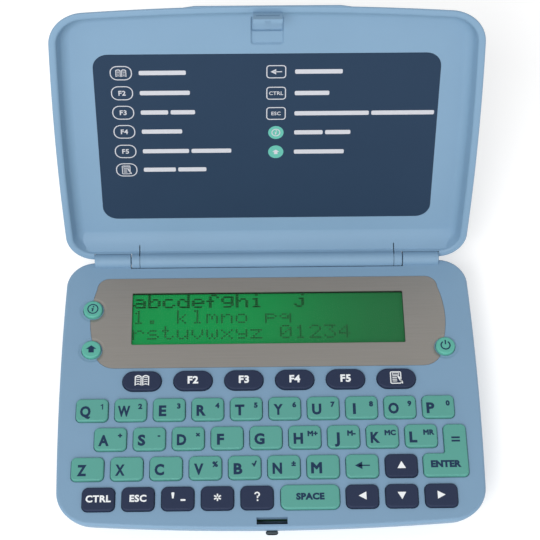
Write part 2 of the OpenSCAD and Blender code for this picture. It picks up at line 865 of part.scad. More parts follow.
// Circuit board with its chip and the battery contacts soldered to it
module circuit_board() {
    color("#2F5D3A") {
        translate([0, 0, board_z]) linear_extrude(board_t) board_plan(cover_front_y + board_lap, 0);
        translate([chip_x, front_y + chip_inset, board_z - chip_t])
            cylinder(r = chip_r, h = chip_t + board_t / 10, $fn = 32);
    }
    color("#C9CCD1") both_sides() {
        box([contact_x - contact_t, contact_x], [cell_y - contact_w / 2, cell_y + contact_w / 2],
            [cell_z - contact_low, cell_z + contact_high]);
        box([contact_x - lead_w, contact_x], [cover_front_y - lead_run, cell_y - contact_w / 2 + lead_lap],
            [board_top + tiny, board_top + contact_t]);
        translate([cell_len + cell_end_gap, cell_y, cell_z]) rotate([0, 90, 0])
            cylinder(r = contact_pad_r, h = contact_x - contact_t / 2 - cell_len - cell_end_gap, $fn = 32);
    }
}

// Rubber mat with a dome under every key
module key_mat() {
    mat_z = board_top + tiny;
    dome_top = flange_top - flange_t - key_travel - dome_gap;
    color("#D7DAD6") {
        translate([0, 0, mat_z]) linear_extrude(mat_t)
            board_plan(function_row_y + pill_d / 2 + mat_back_margin, mat_margin);
        for (k = keys)
            translate([k[2] - (k[1] == "corner" ? corner_arm_w / 2 : 0), k[3], mat_z + mat_t / 2])
                cylinder(r = dome_r, h = dome_top - mat_z - mat_t / 2, $fn = 24);
    }
}

// Lid, in its own frame: hinge axis along X, Y away from the hinge, Z out
// of the hollow

rim_n = -parting_gap / 2;
rim_w = 2;
lid_edge_r = 0.5;
floor_n = rim_n - lid_hollow;
// Pocket in the hollow's floor behind the hook, with a deeper end
hook_pocket_w = 9.8;
hook_pocket_setback = 5.4;
hook_pocket_len = 9.7;
hook_pocket_d = 0.35;
deep_pocket_len = 5.7;
deep_pocket_d = 0.7;
hook_root = 2.8;
// Shallow lip on the far rim, for a fingertip
lip_w = 50;
lip_end_w = 2.5;
lip_out = 0.45;
lip_depth = 2.2;
lip_root = 1.5;

module lid_pose() {
    at_hinge() rotate([180 - lid_travel, 0, 0]) children();
}

// Tray of the lid: its side starts with a slant and rounds over to the outer
// face, and the hollow's wall has the same slant and a fillet at its foot
module lid_tray() {
    side_h = lid_h - lid_edge_r;
    slant_w = lid_slant * side_h;
    skin(concat(
        [for (a = [90, 70, 52, 35, 18])
            lid_ring(slant_w * sin(a) + (lid_tuck - slant_w) * (1 - cos(a)),
                rim_n - lid_edge_r - side_h * sin(a))],
        [for (a = [0, 45, 90]) lid_ring(lid_edge_r * (1 - cos(a)), rim_n - lid_edge_r * (1 - sin(a)))],
        [lid_ring(rim_w, rim_n)],
        [for (a = [0, 30, 60, 90])
            let (depth = lid_hollow - hollow_fillet * (1 - sin(a)))
            lid_ring(rim_w + lid_slant * depth + hollow_fillet * (1 - cos(a)), rim_n - depth)]
    ));
}

// Ramp from the hollow's floor up to the hinge barrel, and to the near rim
// on both sides of it
ramp_len = 9;
ramp_side_x = 54;
ramp_near = 2.2;

module barrel_ramp() {
    steps = 6;
    top = [barrel_r * cos(12), -barrel_r * sin(12)];
    curve = [for (i = [0:steps]) let (t = i / steps)
        [top.x + (ramp_len - top.x) * t, floor_n - 0.05 + (top.y - floor_n) * pow(1 - t, 2)]];
    translate([-barrel_x, 0, 0]) rotate([90, 0, 90]) linear_extrude(barrel_len)
        polygon(concat([[ramp_near * 2, floor_n - 0.5], [0, 0.1 - barrel_r], [0, 0]], curve,
            [[ramp_len, floor_n - 0.5]]));
    both_sides() translate([barrel_x - past, 0, 0]) rotate([90, 0, 90])
        linear_extrude(ramp_side_x - barrel_x + past)
            polygon(concat([[ramp_near * 2, floor_n - 0.5], [ramp_near, -3], [ramp_near, top.y]],
                curve, [[ramp_len, floor_n - 0.5]]));
}

function edge_u(x) = body_d - front_bow * pow(x / (body_w / 2 - front_corner_r), 2);

// Lip along the middle of the far rim, with sloped ends. It follows the bow
// of the front edge.
module finger_lip() {
    half_w = lip_w / 2;
    xs = [for (i = [-3:3]) i / 3 * (half_w - lip_end_w)];
    translate([0, 0, rim_n - lip_depth]) linear_extrude(lip_depth - lid_edge_r / 2)
        polygon(concat(
            [[half_w, edge_u(half_w) - lip_root], [half_w, edge_u(half_w) - tiny]],
            [for (i = [6:-1:0]) [xs[i], edge_u(xs[i]) + lip_out]],
            [[-half_w, edge_u(half_w) - tiny], [-half_w, edge_u(half_w) - lip_root]]));
}

module latch_hook() {
    near = body_d - hook_setback - hook_t;
    far = body_d - hook_setback;
    tip = rim_n + hook_len;
    groove_x = hook_w / 2 - groove_end_w;
    difference() {
        box([-hook_w / 2, hook_w / 2], [near, far], [rim_n - hook_root, tip]);
        box([-groove_x, groove_x], [far - groove_d, far + past],
            [tip - hook_point_h - groove_h, tip - hook_point_h]);
        box([-notch_w / 2, notch_w / 2], [near - past, near + notch_d], [tip - notch_h, tip + past]);
    }
}

module card_space(grow) {
    translate([0, card_inset + card_h / 2, 0])
        slab(card_w + 2 * grow, card_h + 2 * grow, card_r + grow,
            floor_n - card_t - grow / 10, floor_n + past);
}

module hook_pocket(len, depth) {
    far = body_d - hook_pocket_setback;
    box([-hook_pocket_w / 2, hook_pocket_w / 2], [far - len, far], [floor_n - depth, floor_n + past]);
}

module lid_shell() {
    slit_x = barrel_x - slit_inset;
    color(case_blue) lid_pose() {
        difference() {
            union() {
                lid_tray();
                rod_x(barrel_r, -barrel_x, barrel_x);
                barrel_ramp();
                finger_lip();
            }
            card_space(seat_gap);
            hook_pocket(hook_pocket_len, hook_pocket_d);
            hook_pocket(deep_pocket_len, deep_pocket_d);
            both_sides() rod_x(ear_r + barrel_gap, barrel_x, ear_x + barrel_gap);
            both_sides() box([slit_x, slit_x + slit_w], [-barrel_r - past, barrel_r + 2 * past],
                [-barrel_r * 0.3, barrel_r + past]);
        }
        latch_hook();
        both_sides() rod_x(stub_r, barrel_x - past, channel_x + stub_len - stub_end_gap);
    }
}

module legend_card() {
    color("#2E3F57") lid_pose() translate([0, card_inset + card_h / 2, 0])
        slab(card_w, card_h, card_r, floor_n - card_t, floor_n);
}

base_bottom_shell();
base_top_shell();
display_bezel();
display_window();
lcd_panel();
circuit_board();
key_mat();
batteries();
battery_cover();
case_screws();
release_button();
lid_shell();
legend_card();
for (k = keys) key(k);
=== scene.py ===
"""Pocket electronic dictionary with its lid open, dressed round its CAD frame.

Lengths are in millimetres and become metres when a mesh is made. X runs to the
right, Y to the back and Z up, from the middle of the flat underside.
"""

import logging
import math
from dataclasses import dataclass, field
from enum import Enum
from functools import lru_cache
from typing import Callable, Sequence

import bmesh
import bpy
from mathutils import Matrix, Vector


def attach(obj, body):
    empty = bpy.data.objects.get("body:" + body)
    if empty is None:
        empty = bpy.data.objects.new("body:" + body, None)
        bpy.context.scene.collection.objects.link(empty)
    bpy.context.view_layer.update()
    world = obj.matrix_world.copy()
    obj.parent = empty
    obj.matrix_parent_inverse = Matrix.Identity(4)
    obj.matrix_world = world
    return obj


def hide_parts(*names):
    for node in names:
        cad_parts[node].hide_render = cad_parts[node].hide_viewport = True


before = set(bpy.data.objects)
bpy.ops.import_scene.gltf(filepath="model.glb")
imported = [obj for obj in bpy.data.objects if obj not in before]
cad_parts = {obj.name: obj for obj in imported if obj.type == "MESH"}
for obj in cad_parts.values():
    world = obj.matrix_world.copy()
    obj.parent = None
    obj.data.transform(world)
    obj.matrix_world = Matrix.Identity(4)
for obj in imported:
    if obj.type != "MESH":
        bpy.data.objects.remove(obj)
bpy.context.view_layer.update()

LOG = logging.getLogger("dictionary")
MM = 0.001
SHARP_DEG, CAP_SHARP_DEG = 32, 40
WELD_M, SLIVER_M = 1e-6, 1e-7
INK_HEIGHT = 0.03

Point2 = tuple[float, float]
Point3 = tuple[float, float, float]
Ring = list[Point3]
Solid = bpy.types.Object
Tree = bpy.types.NodeTree
Socket = bpy.types.NodeSocket


def linear(colour: str) -> tuple[float, float, float, float]:
    """Turn an sRGB hex colour into linear RGBA.

    Args:
        colour: Six hex digits, such as "84A3C1".

    Returns:
        Red, green, blue and alpha, linear.
    """
    parts = [int(colour[i:i + 2], 16) / 255 for i in (0, 2, 4)]
    lit = [c / 12.92 if c <= 0.04045 else ((c + 0.055) / 1.055) ** 2.4 for c in parts]
    return (lit[0], lit[1], lit[2], 1.0)


# Materials


def add_node(tree: Tree, kind: str, settings: dict | None = None,
             links: dict | None = None) -> bpy.types.Node:
    """Add a node with its settings and the values or links of its inputs.

    Args:
        tree: The node tree that gets the node.
        kind: The node's type name.
        settings: Attributes of the node.
        links: Input name or number to a value, or to the output socket it takes.

    Returns:
        The new node.
    """
    node = tree.nodes.new(kind)
    for name, value in (settings or {}).items():
        setattr(node, name, value)
    for name, value in (links or {}).items():
        if isinstance(value, Socket):
            tree.links.new(value, node.inputs[name])
        else:
            node.inputs[name].default_value = value
    return node


def new_material(name: str) -> tuple[bpy.types.Material, Tree]:
    """Make an empty material, and return it with its node tree."""
    material = bpy.data.materials.new(name)
    material.use_nodes = True
    material.node_tree.nodes.clear()
    return material, material.node_tree


def object_point(tree: Tree, scale: Sequence[float] = (1, 1, 1)) -> Socket:
    """Object coordinates, scaled.

    Args:
        tree: The material's node tree.
        scale: Scale along X, Y and Z.

    Returns:
        The vector output.
    """
    place = add_node(tree, "ShaderNodeTexCoord")
    mapping = add_node(tree, "ShaderNodeMapping", None, {
        "Vector": place.outputs["Object"], "Scale": scale})
    return mapping.outputs["Vector"]


def per_mm(size: float) -> float:
    """Texture scale at which one noise cell is about this many millimetres."""
    return 1 / (size * MM)


def tone(colour: str, factor: float) -> tuple[float, float, float, float]:
    """A colour made lighter or darker by a factor, linear."""
    return (*(min(c * factor, 1.0) for c in linear(colour)[:3]), 1.0)


def surface(tree: Tree, links: dict) -> None:
    """End a material with one Principled shader that has these values and links."""
    shader = add_node(tree, "ShaderNodeBsdfPrincipled", None, links)
    add_node(tree, "ShaderNodeOutputMaterial", None, {"Surface": shader.outputs["BSDF"]})


@dataclass(frozen=True)
class MouldedPlastic:
    """Injection-moulded plastic: a spark-eroded grain and a faint flow mottle."""

    name: str
    colour: str
    roughness: float
    grain_mm: float = 0.35
    grain_depth_mm: float = 0.008
    mottle: float = 0.03
    mottle_mm: float = 14.0
    gloss: float = 0.4
    ior: float = 1.53

    def material(self) -> bpy.types.Material:
        """Build the material."""
        material, tree = new_material(self.name)
        flow = add_node(tree, "ShaderNodeTexNoise", None, {
            "Vector": object_point(tree), "Scale": per_mm(self.mottle_mm), "Detail": 3.0})
        blend = add_node(tree, "ShaderNodeMix", {"data_type": "RGBA"}, {
            "Factor": flow.outputs["Fac"], 6: tone(self.colour, 1 - self.mottle),
            7: tone(self.colour, 1 + self.mottle)})
        grain = add_node(tree, "ShaderNodeTexNoise", None, {
            "Vector": object_point(tree), "Scale": per_mm(self.grain_mm), "Detail": 2.0})
        sheen = add_node(tree, "ShaderNodeMapRange", None, {
            "Value": grain.outputs["Fac"], "To Min": self.roughness - 0.05,
            "To Max": self.roughness + 0.05})
        bump = add_node(tree, "ShaderNodeBump", None, {
            "Height": grain.outputs["Fac"], "Strength": 0.5, "Distance": self.grain_depth_mm * MM})
        surface(tree, {"Base Color": blend.outputs[2], "Roughness": sheen.outputs["Result"],
                       "Normal": bump.outputs["Normal"], "IOR": self.ior,
                       "Specular IOR Level": self.gloss})
        return material


@dataclass(frozen=True)
class BrushedPlate:
    """Aluminium foil plate, brushed from end to end and lacquered."""

    name: str
    colour: str
    low_colour: str
    line_mm: float = 0.16
    line_len_mm: float = 26.0
    roughness: float = 0.42

    def material(self) -> bpy.types.Material:
        """Build the material."""
        material, tree = new_material(self.name)
        lines = add_node(tree, "ShaderNodeTexNoise", None, {
            "Vector": object_point(tree, (self.line_mm / self.line_len_mm, 1, 1)),
            "Scale": per_mm(self.line_mm), "Detail": 3.0, "Roughness": 0.7})
        shade = add_node(tree, "ShaderNodeMix", {"data_type": "RGBA"}, {
            "Factor": lines.outputs["Fac"], 6: tone(self.low_colour, 0.93), 7: tone(self.colour, 1.07)})
        polish = add_node(tree, "ShaderNodeMapRange", None, {
            "Value": lines.outputs["Fac"], "To Min": self.roughness - 0.08,
            "To Max": self.roughness + 0.1})
        bump = add_node(tree, "ShaderNodeBump", None, {
            "Height": lines.outputs["Fac"], "Strength": 0.35, "Distance": 0.01 * MM})
        surface(tree, {"Base Color": shade.outputs[2], "Roughness": polish.outputs["Result"],
                       "Metallic": 0.35, "Normal": bump.outputs["Normal"]})
        return material


@dataclass(frozen=True)
class PrintedInk:
    """Pad-printed ink: flat and slightly rough, with thin spots."""

    name: str
    colour: str
    speckle_mm: float = 0.5

    def material(self) -> bpy.types.Material:
        """Build the material."""
        material, tree = new_material(self.name)
        thin = add_node(tree, "ShaderNodeTexNoise", None, {
            "Vector": object_point(tree), "Scale": per_mm(self.speckle_mm), "Detail": 1.0})
        shade = add_node(tree, "ShaderNodeMix", {"data_type": "RGBA"}, {
            "Factor": thin.outputs["Fac"], 6: tone(self.colour, 0.94), 7: tone(self.colour, 1.04)})
        surface(tree, {"Base Color": shade.outputs[2], "Roughness": 0.6, "Specular IOR Level": 0.15})
        return material


@dataclass(frozen=True)
class GlowingCrystal:
    """Liquid crystal with a faint glow of its own: brightest at its left end and darker to the right,
    with a faint dot grid.
    """

    name: str
    lit: str
    dim: str
    dot_mm: Point2
    half_width_mm: float
    glow: float = 0.35

    def material(self) -> bpy.types.Material:
        """Build the material."""
        material, tree = new_material(self.name)
        place = add_node(tree, "ShaderNodeTexCoord")
        axes = add_node(tree, "ShaderNodeSeparateXYZ", None, {"Vector": place.outputs["Object"]})
        across = add_node(tree, "ShaderNodeMapRange", {"interpolation_type": "SMOOTHSTEP"}, {
            "Value": axes.outputs["X"], "From Min": -0.5 * self.half_width_mm * MM,
            "From Max": self.half_width_mm * MM})
        fall = add_node(tree, "ShaderNodeMix", {"data_type": "RGBA"}, {
            "Factor": across.outputs["Result"], 6: linear(self.lit), 7: linear(self.dim)})
        grid = add_node(tree, "ShaderNodeTexBrick", {"offset": 0.0}, {
            "Vector": object_point(tree), "Scale": 1.0, "Mortar Size": 0.09 * MM,
            "Brick Width": self.dot_mm[0] * MM, "Row Height": self.dot_mm[1] * MM,
            "Color1": (1, 1, 1, 1), "Color2": (1, 1, 1, 1), "Mortar": (0.82, 0.82, 0.82, 1)})
        dotted = add_node(tree, "ShaderNodeMix", {"data_type": "RGBA", "blend_type": "MULTIPLY"}, {
            "Factor": 1.0, 6: fall.outputs[2], 7: grid.outputs["Color"]})
        surface(tree, {"Base Color": dotted.outputs[2], "Emission Color": dotted.outputs[2],
                       "Emission Strength": self.glow, "Roughness": 0.45,
                       "Specular IOR Level": 0.1})
        return material


@dataclass(frozen=True)
class ClearAcrylic:
    """Cast acrylic pane: nearly unseen, with a faint grey gleam."""

    name: str
    colour: str = "DDE8E0"
    cover: float = 0.05

    def material(self) -> bpy.types.Material:
        """Build the material."""
        material, tree = new_material(self.name)
        haze = add_node(tree, "ShaderNodeTexNoise", None, {
            "Vector": object_point(tree), "Scale": per_mm(9), "Detail": 1.0})
        film = add_node(tree, "ShaderNodeMapRange", None, {
            "Value": haze.outputs["Fac"], "To Min": 0.8 * self.cover, "To Max": 1.2 * self.cover})
        surface(tree, {"Base Color": linear(self.colour), "Roughness": 0.08, "IOR": 1.49,
                       "Alpha": film.outputs["Result"]})
        return material


@dataclass(frozen=True)
class PlatedSteel:
    """Steel with a fine cloudy plating."""

    name: str
    colour: str
    roughness: float = 0.3

    def material(self) -> bpy.types.Material:
        """Build the material."""
        material, tree = new_material(self.name)
        cloud = add_node(tree, "ShaderNodeTexNoise", None, {
            "Vector": object_point(tree), "Scale": per_mm(1.2), "Detail": 3.0})
        shade = add_node(tree, "ShaderNodeMix", {"data_type": "RGBA"}, {
            "Factor": cloud.outputs["Fac"], 6: tone(self.colour, 0.85), 7: tone(self.colour, 1.1)})
        polish = add_node(tree, "ShaderNodeMapRange", None, {
            "Value": cloud.outputs["Fac"], "To Min": self.roughness - 0.08,
            "To Max": self.roughness + 0.1})
        surface(tree, {"Base Color": shade.outputs[2], "Metallic": 1.0,
                       "Roughness": polish.outputs["Result"]})
        return material


class Finish(Enum):
    """Every finish on the object."""

    # ABS from a spark-eroded mould: an even satin with a wide, soft gleam and no grain seen from afar
    CASE = MouldedPlastic("moulded_abs_blue", "7A9AB5", 0.5, gloss=0.3)
    # Polystyrene sheet printed all over: flat and dull, almost no gleam
    CARD = MouldedPlastic("printed_polystyrene_navy", "24384F", 0.55, grain_mm=0.6,
                          grain_depth_mm=0.004, mottle=0.04, gloss=0.12)
    # ABS key caps, a little smoother than the case: a soft light line along each rounded edge
    TEAL = MouldedPlastic("moulded_key_teal", "579C90", 0.45, mottle=0.02, mottle_mm=5, gloss=0.25)
    ROUND_TEAL = MouldedPlastic("moulded_round_key_teal", "5BAC9B", 0.45, mottle=0.02, mottle_mm=5,
                                gloss=0.25)
    # The same caps moulded dark: the gleam shows at the edges only
    NAVY = MouldedPlastic("moulded_key_navy", "29324A", 0.5, mottle=0.03, mottle_mm=5, gloss=0.12)
    # Acetal, which is slightly waxy
    BUTTON = MouldedPlastic("moulded_button_grey", "353F44", 0.45, gloss=0.2)
    # Painted shade: near-black on the walls of the window's opening, standing in for the shadow line
    # along its edge
    WINDOW_SHADE = MouldedPlastic("painted_shade_window_walls", "1B2620", 0.85, grain_mm=0.5, grain_depth_mm=0.03,
                            gloss=0.1)
    # Silicone rubber from a fine mould: pale and matt
    RUBBER = MouldedPlastic("silicone_key_mat", "D7DAD6", 0.6, grain_depth_mm=0.012, gloss=0.25)
    # Glass-fibre laminate under green lacquer: blotchy and shiny
    LAMINATE = MouldedPlastic("lacquered_board_laminate", "2F5D3A", 0.3, grain_mm=0.9, mottle=0.12,
                              mottle_mm=3)
    # Anodised aluminium foil, brushed sideways: fine level streaks, and lacquer takes off most of
    # the mirror. Real lines are under 0.05 mm, so they are drawn coarser to show
    PLATE = BrushedPlate("brushed_aluminium_plate", "938E88", "827F79")
    # Pad-printed and screen-printed inks: thin, flat and matt, each a slightly uneven colour
    PALE_INK = PrintedInk("pad_printed_ink_white", "ECEFF1")
    CARD_INK = PrintedInk("screen_printed_ink_pale", "C6C7CE")
    DARK_INK = PrintedInk("pad_printed_ink_navy", "1E3450")
    TEAL_INK = PrintedInk("pad_printed_ink_teal", "62B3A4")
    DOT_INK = PrintedInk("darkened_liquid_crystal", "1F4F2B")
    # Twisted nematic glass in green with a faint glow of its own: brightest at the left, darker to the
    # right
    CRYSTAL = GlowingCrystal("glowing_liquid_crystal", "138543", "1F6136", (0.77, 0.7), 42.5)
    # Cast acrylic, IOR 1.49: clear, with a thin film of reflected room
    PANE = ClearAcrylic("clear_acrylic_pane", "5E7A68", 0.02)
    # Zinc on steel: grey metal with cloudy polish; the cell jacket is metal foil with a gold print
    STEEL = PlatedSteel("zinc_plated_steel", "C4C7CC")
    CELL = PlatedSteel("printed_cell_jacket", "B89C5C", 0.38)


@lru_cache(maxsize=None)
def material_of(finish: Finish) -> bpy.types.Material:
    """Material of a finish, made the first time it is asked for."""
    return finish.value.material()


# Meshes


def rounded(corners: Sequence[Point2], radii: Sequence[float] | float, inset: float = 0.0,
            steps: int = 8) -> list[Point2]:
    """Outline with round corners, drawn in by an inset.

    Args:
        corners: Corners of the sharp outline, anticlockwise.
        radii: Radius at each corner before the inset, or one for all.
        inset: How far the outline is drawn in; a negative one grows it.
        steps: Arc steps per corner.

    Returns:
        The points, as many for every inset.
    """
    points: list[Point2] = []
    count = len(corners)
    if isinstance(radii, float):
        radii = [radii] * count
    for i in range(count):
        before, here, after = (Vector(corners[(i + k) % count]) for k in (-1, 0, 1))
        arriving, leaving = (here - before).normalized(), (after - here).normalized()
        in_a, in_b = Vector((-arriving.y, arriving.x)), Vector((-leaving.y, leaving.x))
        side = 1 if arriving.x * leaving.y - arriving.y * leaving.x > 0 else -1
        corner = here + (in_a + in_b) * (inset / (1 + in_a.dot(in_b)))
        radius = max(radii[i] - side * inset, 0.05)
        half = math.acos(max(-1.0, min(1.0, arriving.dot(leaving)))) / 2
        start = corner - arriving * radius * math.tan(half)
        centre = start + in_a * side * radius
        for k in range(steps + 1):
            angle = side * 2 * half * k / steps
            arm = start - centre
            points.append((centre.x + arm.x * math.cos(angle) - arm.y * math.sin(angle),
                           centre.y + arm.x * math.sin(angle) + arm.y * math.cos(angle)))
    return points


def bar(x: Point2, y: Point2) -> list[Point2]:
    """Corners between two limits along both axes, anticlockwise from the front left."""
    return [(x[0], y[0]), (x[1], y[0]), (x[1], y[1]), (x[0], y[1])]


def rectangle(width: float, depth: float, centre: Point2 = (0, 0)) -> list[Point2]:
    """Corners of a rectangle, in the same order."""
    x, y = centre
    return bar((x - width / 2, x + width / 2), (y - depth / 2, y + depth / 2))


def arc(radius: float, centre: Point2, start: float, end: float, steps: int) -> list[Point2]:
    """Points of an arc.

    Args:
        radius: Its radius.
        centre: Its centre.
        start: Angle of its first point, in radians.
        end: Angle of its last point.
        steps: Steps between them.

    Returns:
        The points, both ends included.
    """
    turns = [start + (end - start) * i / steps for i in range(steps + 1)]
    return [(centre[0] + radius * math.cos(a), centre[1] + radius * math.sin(a)) for a in turns]


def disc(radius: float, centre: Point2 = (0, 0), sides: int = 36) -> list[Point2]:
    """Outline of a disc."""
    return arc(radius, centre, 0, 2 * math.pi, sides)[:-1]


def quarter(steps: int, first: int = 0) -> list[float]:
    """Angles of a quarter turn in equal steps, from the first one that is wanted."""
    return [math.pi / 2 * k / steps for k in range(first, steps + 1)]


def rolled(radius: float, top: float, first: int = 0) -> list[Point2]:
    """Inset and height of each ring of a rolled edge, up to its top."""
    return [(radius * (1 - math.cos(a)), top - radius * (1 - math.sin(a))) for a in quarter(6, first)]


def turned(points: Sequence[Point2], degrees: float) -> list[Point2]:
    """Points turned anticlockwise about the origin."""
    a = math.radians(degrees)
    return [(x * math.cos(a) - y * math.sin(a), x * math.sin(a) + y * math.cos(a)) for x, y in points]


def sized(points: Sequence[Point2], factor: float) -> list[Point2]:
    """Points scaled about the origin."""
    return [(factor * x, factor * y) for x, y in points]


def raised(outline: Sequence[Point2], z: float) -> Ring:
    """Ring of an X-Y outline at a height."""
    return [(x, y, z) for x, y in outline]


def across(profile: Sequence[Point2], x: float) -> Ring:
    """Ring of a Y-Z profile at a place along X."""
    return [(x, y, z) for y, z in profile]


def upright(outline: Sequence[Point2], y: float) -> Ring:
    """Ring of an X-Z outline at a place along Y."""
    return [(x, y, z) for x, z in outline]


def span(side: int, near: float, far: float) -> Point2:
    """Limits along X, in order, of what lies on the left (-1) or the right (1)."""
    return (near, far) if side > 0 else (-far, -near)


def even(half: float) -> Point2:
    """Limits of what reaches as far to both sides."""
    return (-half, half)


def linked(name: str, data: bpy.types.ID) -> bpy.types.Object:
    """New object with some data, in the scene."""
    obj = bpy.data.objects.new(name, data)
    bpy.context.scene.collection.objects.link(obj)
    return obj


def as_object(name: str, bm: bmesh.types.BMesh) -> Solid:
    """Turn a bmesh in millimetres into an object at the origin, in metres.

    Args:
        name: The object's name.
        bm: The mesh, which is freed.

    Returns:
        The object, linked to the scene.
    """
    bmesh.ops.recalc_face_normals(bm, faces=bm.faces)
    bmesh.ops.scale(bm, vec=(MM, MM, MM), verts=bm.verts)
    mesh = bpy.data.meshes.new(name)
    bm.to_mesh(mesh)
    bm.free()
    return linked(name, mesh)


def skinned(name: str, rings: Sequence[Ring], band: bool = False) -> Solid:
    """Closed solid through rings of equal length, with a flat cap on each end.

    Args:
        name: The object's name.
        rings: The rings, in order.
        band: Whether the last ring joins the first one, in place of the caps.

    Returns:
        The object.
    """
    bm = bmesh.new()
    loops = [[bm.verts.new(p) for p in ring] for ring in rings]
    count = len(loops[0])
    for low, high in zip(loops, loops[1:] + loops[:band]):
        for i in range(count):
            j = (i + 1) % count
            bm.faces.new((low[i], low[j], high[j], high[i]))
    if not band:
        bm.faces.new(loops[0][::-1])
        bm.faces.new(loops[-1])
    return as_object(name, bm)


def prism(name: str, outline: Sequence[Point2], z_low: float, z_high: float) -> Solid:
    """Upright solid over an outline between two heights."""
    return skinned(name, [raised(outline, z_low), raised(outline, z_high)])


def box(name: str, x: Point2, y: Point2, z: Point2) -> Solid:
    """Box between two limits along each axis."""
    return prism(name, bar(x, y), *z)


def rod_x(name: str, radius: float, x: Point2, centre: Point2, edge: float = 0.0,
          sides: int = 64) -> Solid:
    """Rod along X with a chamfer on both ends.

    Args:
        name: The object's name.
        radius: Its radius.
        x: Its ends.
        centre: Y and Z of its axis.
        edge: Size of the chamfer.
        sides: Number of sides.

    Returns:
        The object.
    """
    stops = [(x[0], radius), (x[1], radius)]
    if edge:
        stops = [(x[0], radius - edge), (x[0] + edge, radius), (x[1] - edge, radius),
                 (x[1], radius - edge)]
    return skinned(name, [across(disc(r, centre, sides), px) for px, r in stops])


def extruded_x(name: str, profile: Sequence[Point2], x: Point2) -> Solid:
    """Solid with a constant Y-Z profile along X."""
    return skinned(name, [across(profile, end) for end in x])


def joined(name: str, objects: Sequence[Solid]) -> Solid:
    """Put several meshes into one object and remove them.

    Args:
        name: The new object's name.
        objects: What goes into it; material slots are kept.

    Returns:
        The object.
    """
    bm = bmesh.new()
    mesh = bpy.data.meshes.new(name)
    for obj in objects:
        shift = len(mesh.materials)
        for material in obj.data.materials:
            mesh.materials.append(material)
        first = len(bm.faces)
        bm.from_mesh(obj.data)
        bm.faces.ensure_lookup_table()
        for face in bm.faces[first:]:
            face.material_index += shift
        remove(obj)
    bm.to_mesh(mesh)
    bm.free()
    return linked(name, mesh)


def remove(obj: Solid) -> None:
    """Delete an object and its mesh."""
    mesh = obj.data
    bpy.data.objects.remove(obj)
    if mesh.users == 0:
        bpy.data.meshes.remove(mesh)


def bake(obj: Solid) -> Solid:
    """Replace an object's mesh by its evaluated one and clear its modifiers."""
    depsgraph = bpy.context.evaluated_depsgraph_get()
    mesh = bpy.data.meshes.new_from_object(obj.evaluated_get(depsgraph), depsgraph=depsgraph)
    obj.modifiers.clear()
    old = obj.data
    obj.data = mesh
    bpy.data.meshes.remove(old)
    mesh.name = obj.name
    return obj


def combined(target: Solid, tools: Sequence[Solid], operation: str) -> Solid:
    """Cut tools out of a solid, add them to it, or keep what it shares with them.

    Args:
        target: The solid that changes.
        tools: The other solids, which are removed.
        operation: "DIFFERENCE", "UNION" or "INTERSECT".

    Returns:
        The target.
    """
    for tool in tools:
        modifier = target.modifiers.new("cut", "BOOLEAN")
        modifier.operation, modifier.solver, modifier.object = operation, "EXACT", tool
    bake(target)
    for tool in tools:
        remove(tool)
    return target


def moved(obj: Solid, matrix: Matrix) -> Solid:
    """Transform an object's mesh, so that the object stays at the origin."""
    obj.data.transform(matrix)
    obj.data.update()
    return obj


def smoothed(obj: Solid) -> Solid:
    """Shade an object smooth but for its sharp edges, with normals weighted by face area."""
    bm = bmesh.new()
    bm.from_mesh(obj.data)
    bmesh.ops.remove_doubles(bm, verts=bm.verts, dist=WELD_M)
    bmesh.ops.dissolve_degenerate(bm, edges=bm.edges, dist=SLIVER_M)
    bm.to_mesh(obj.data)
    bm.free()
    obj.data.shade_smooth()
    obj.data.set_sharp_from_angle(angle=math.radians(SHARP_DEG))
    weighted = obj.modifiers.new("weighted", "WEIGHTED_NORMAL")
    weighted.keep_sharp = True
    return bake(obj)


def mirrored(make: Callable[[int], Solid]) -> list[Solid]:
    """Both of a pair that is made for the left (-1) and the right (1)."""
    return [make(side) for side in (-1, 1)]


def dress(obj: Solid, finish: Finish) -> Solid:
    """Give every face of an object one finish."""
    obj.data.materials.clear()
    obj.data.materials.append(material_of(finish))
    return obj


def settle(obj: Solid, body: str, slot: str, *nodes: str) -> Solid:
    """Ride a finished piece on its body, in place of CAD nodes if any are named.

    Args:
        obj: The piece.
        body: The body it rides on.
        slot: A material slot's name, which is not used.
        nodes: The CAD nodes it stands for.

    Returns:
        The piece.
    """
    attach(obj, body)
    if nodes:
        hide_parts(*nodes)
    LOG.info("piece %s on %s: %d faces", obj.name, body, len(obj.data.polygons))
    return obj


# Geometry Nodes


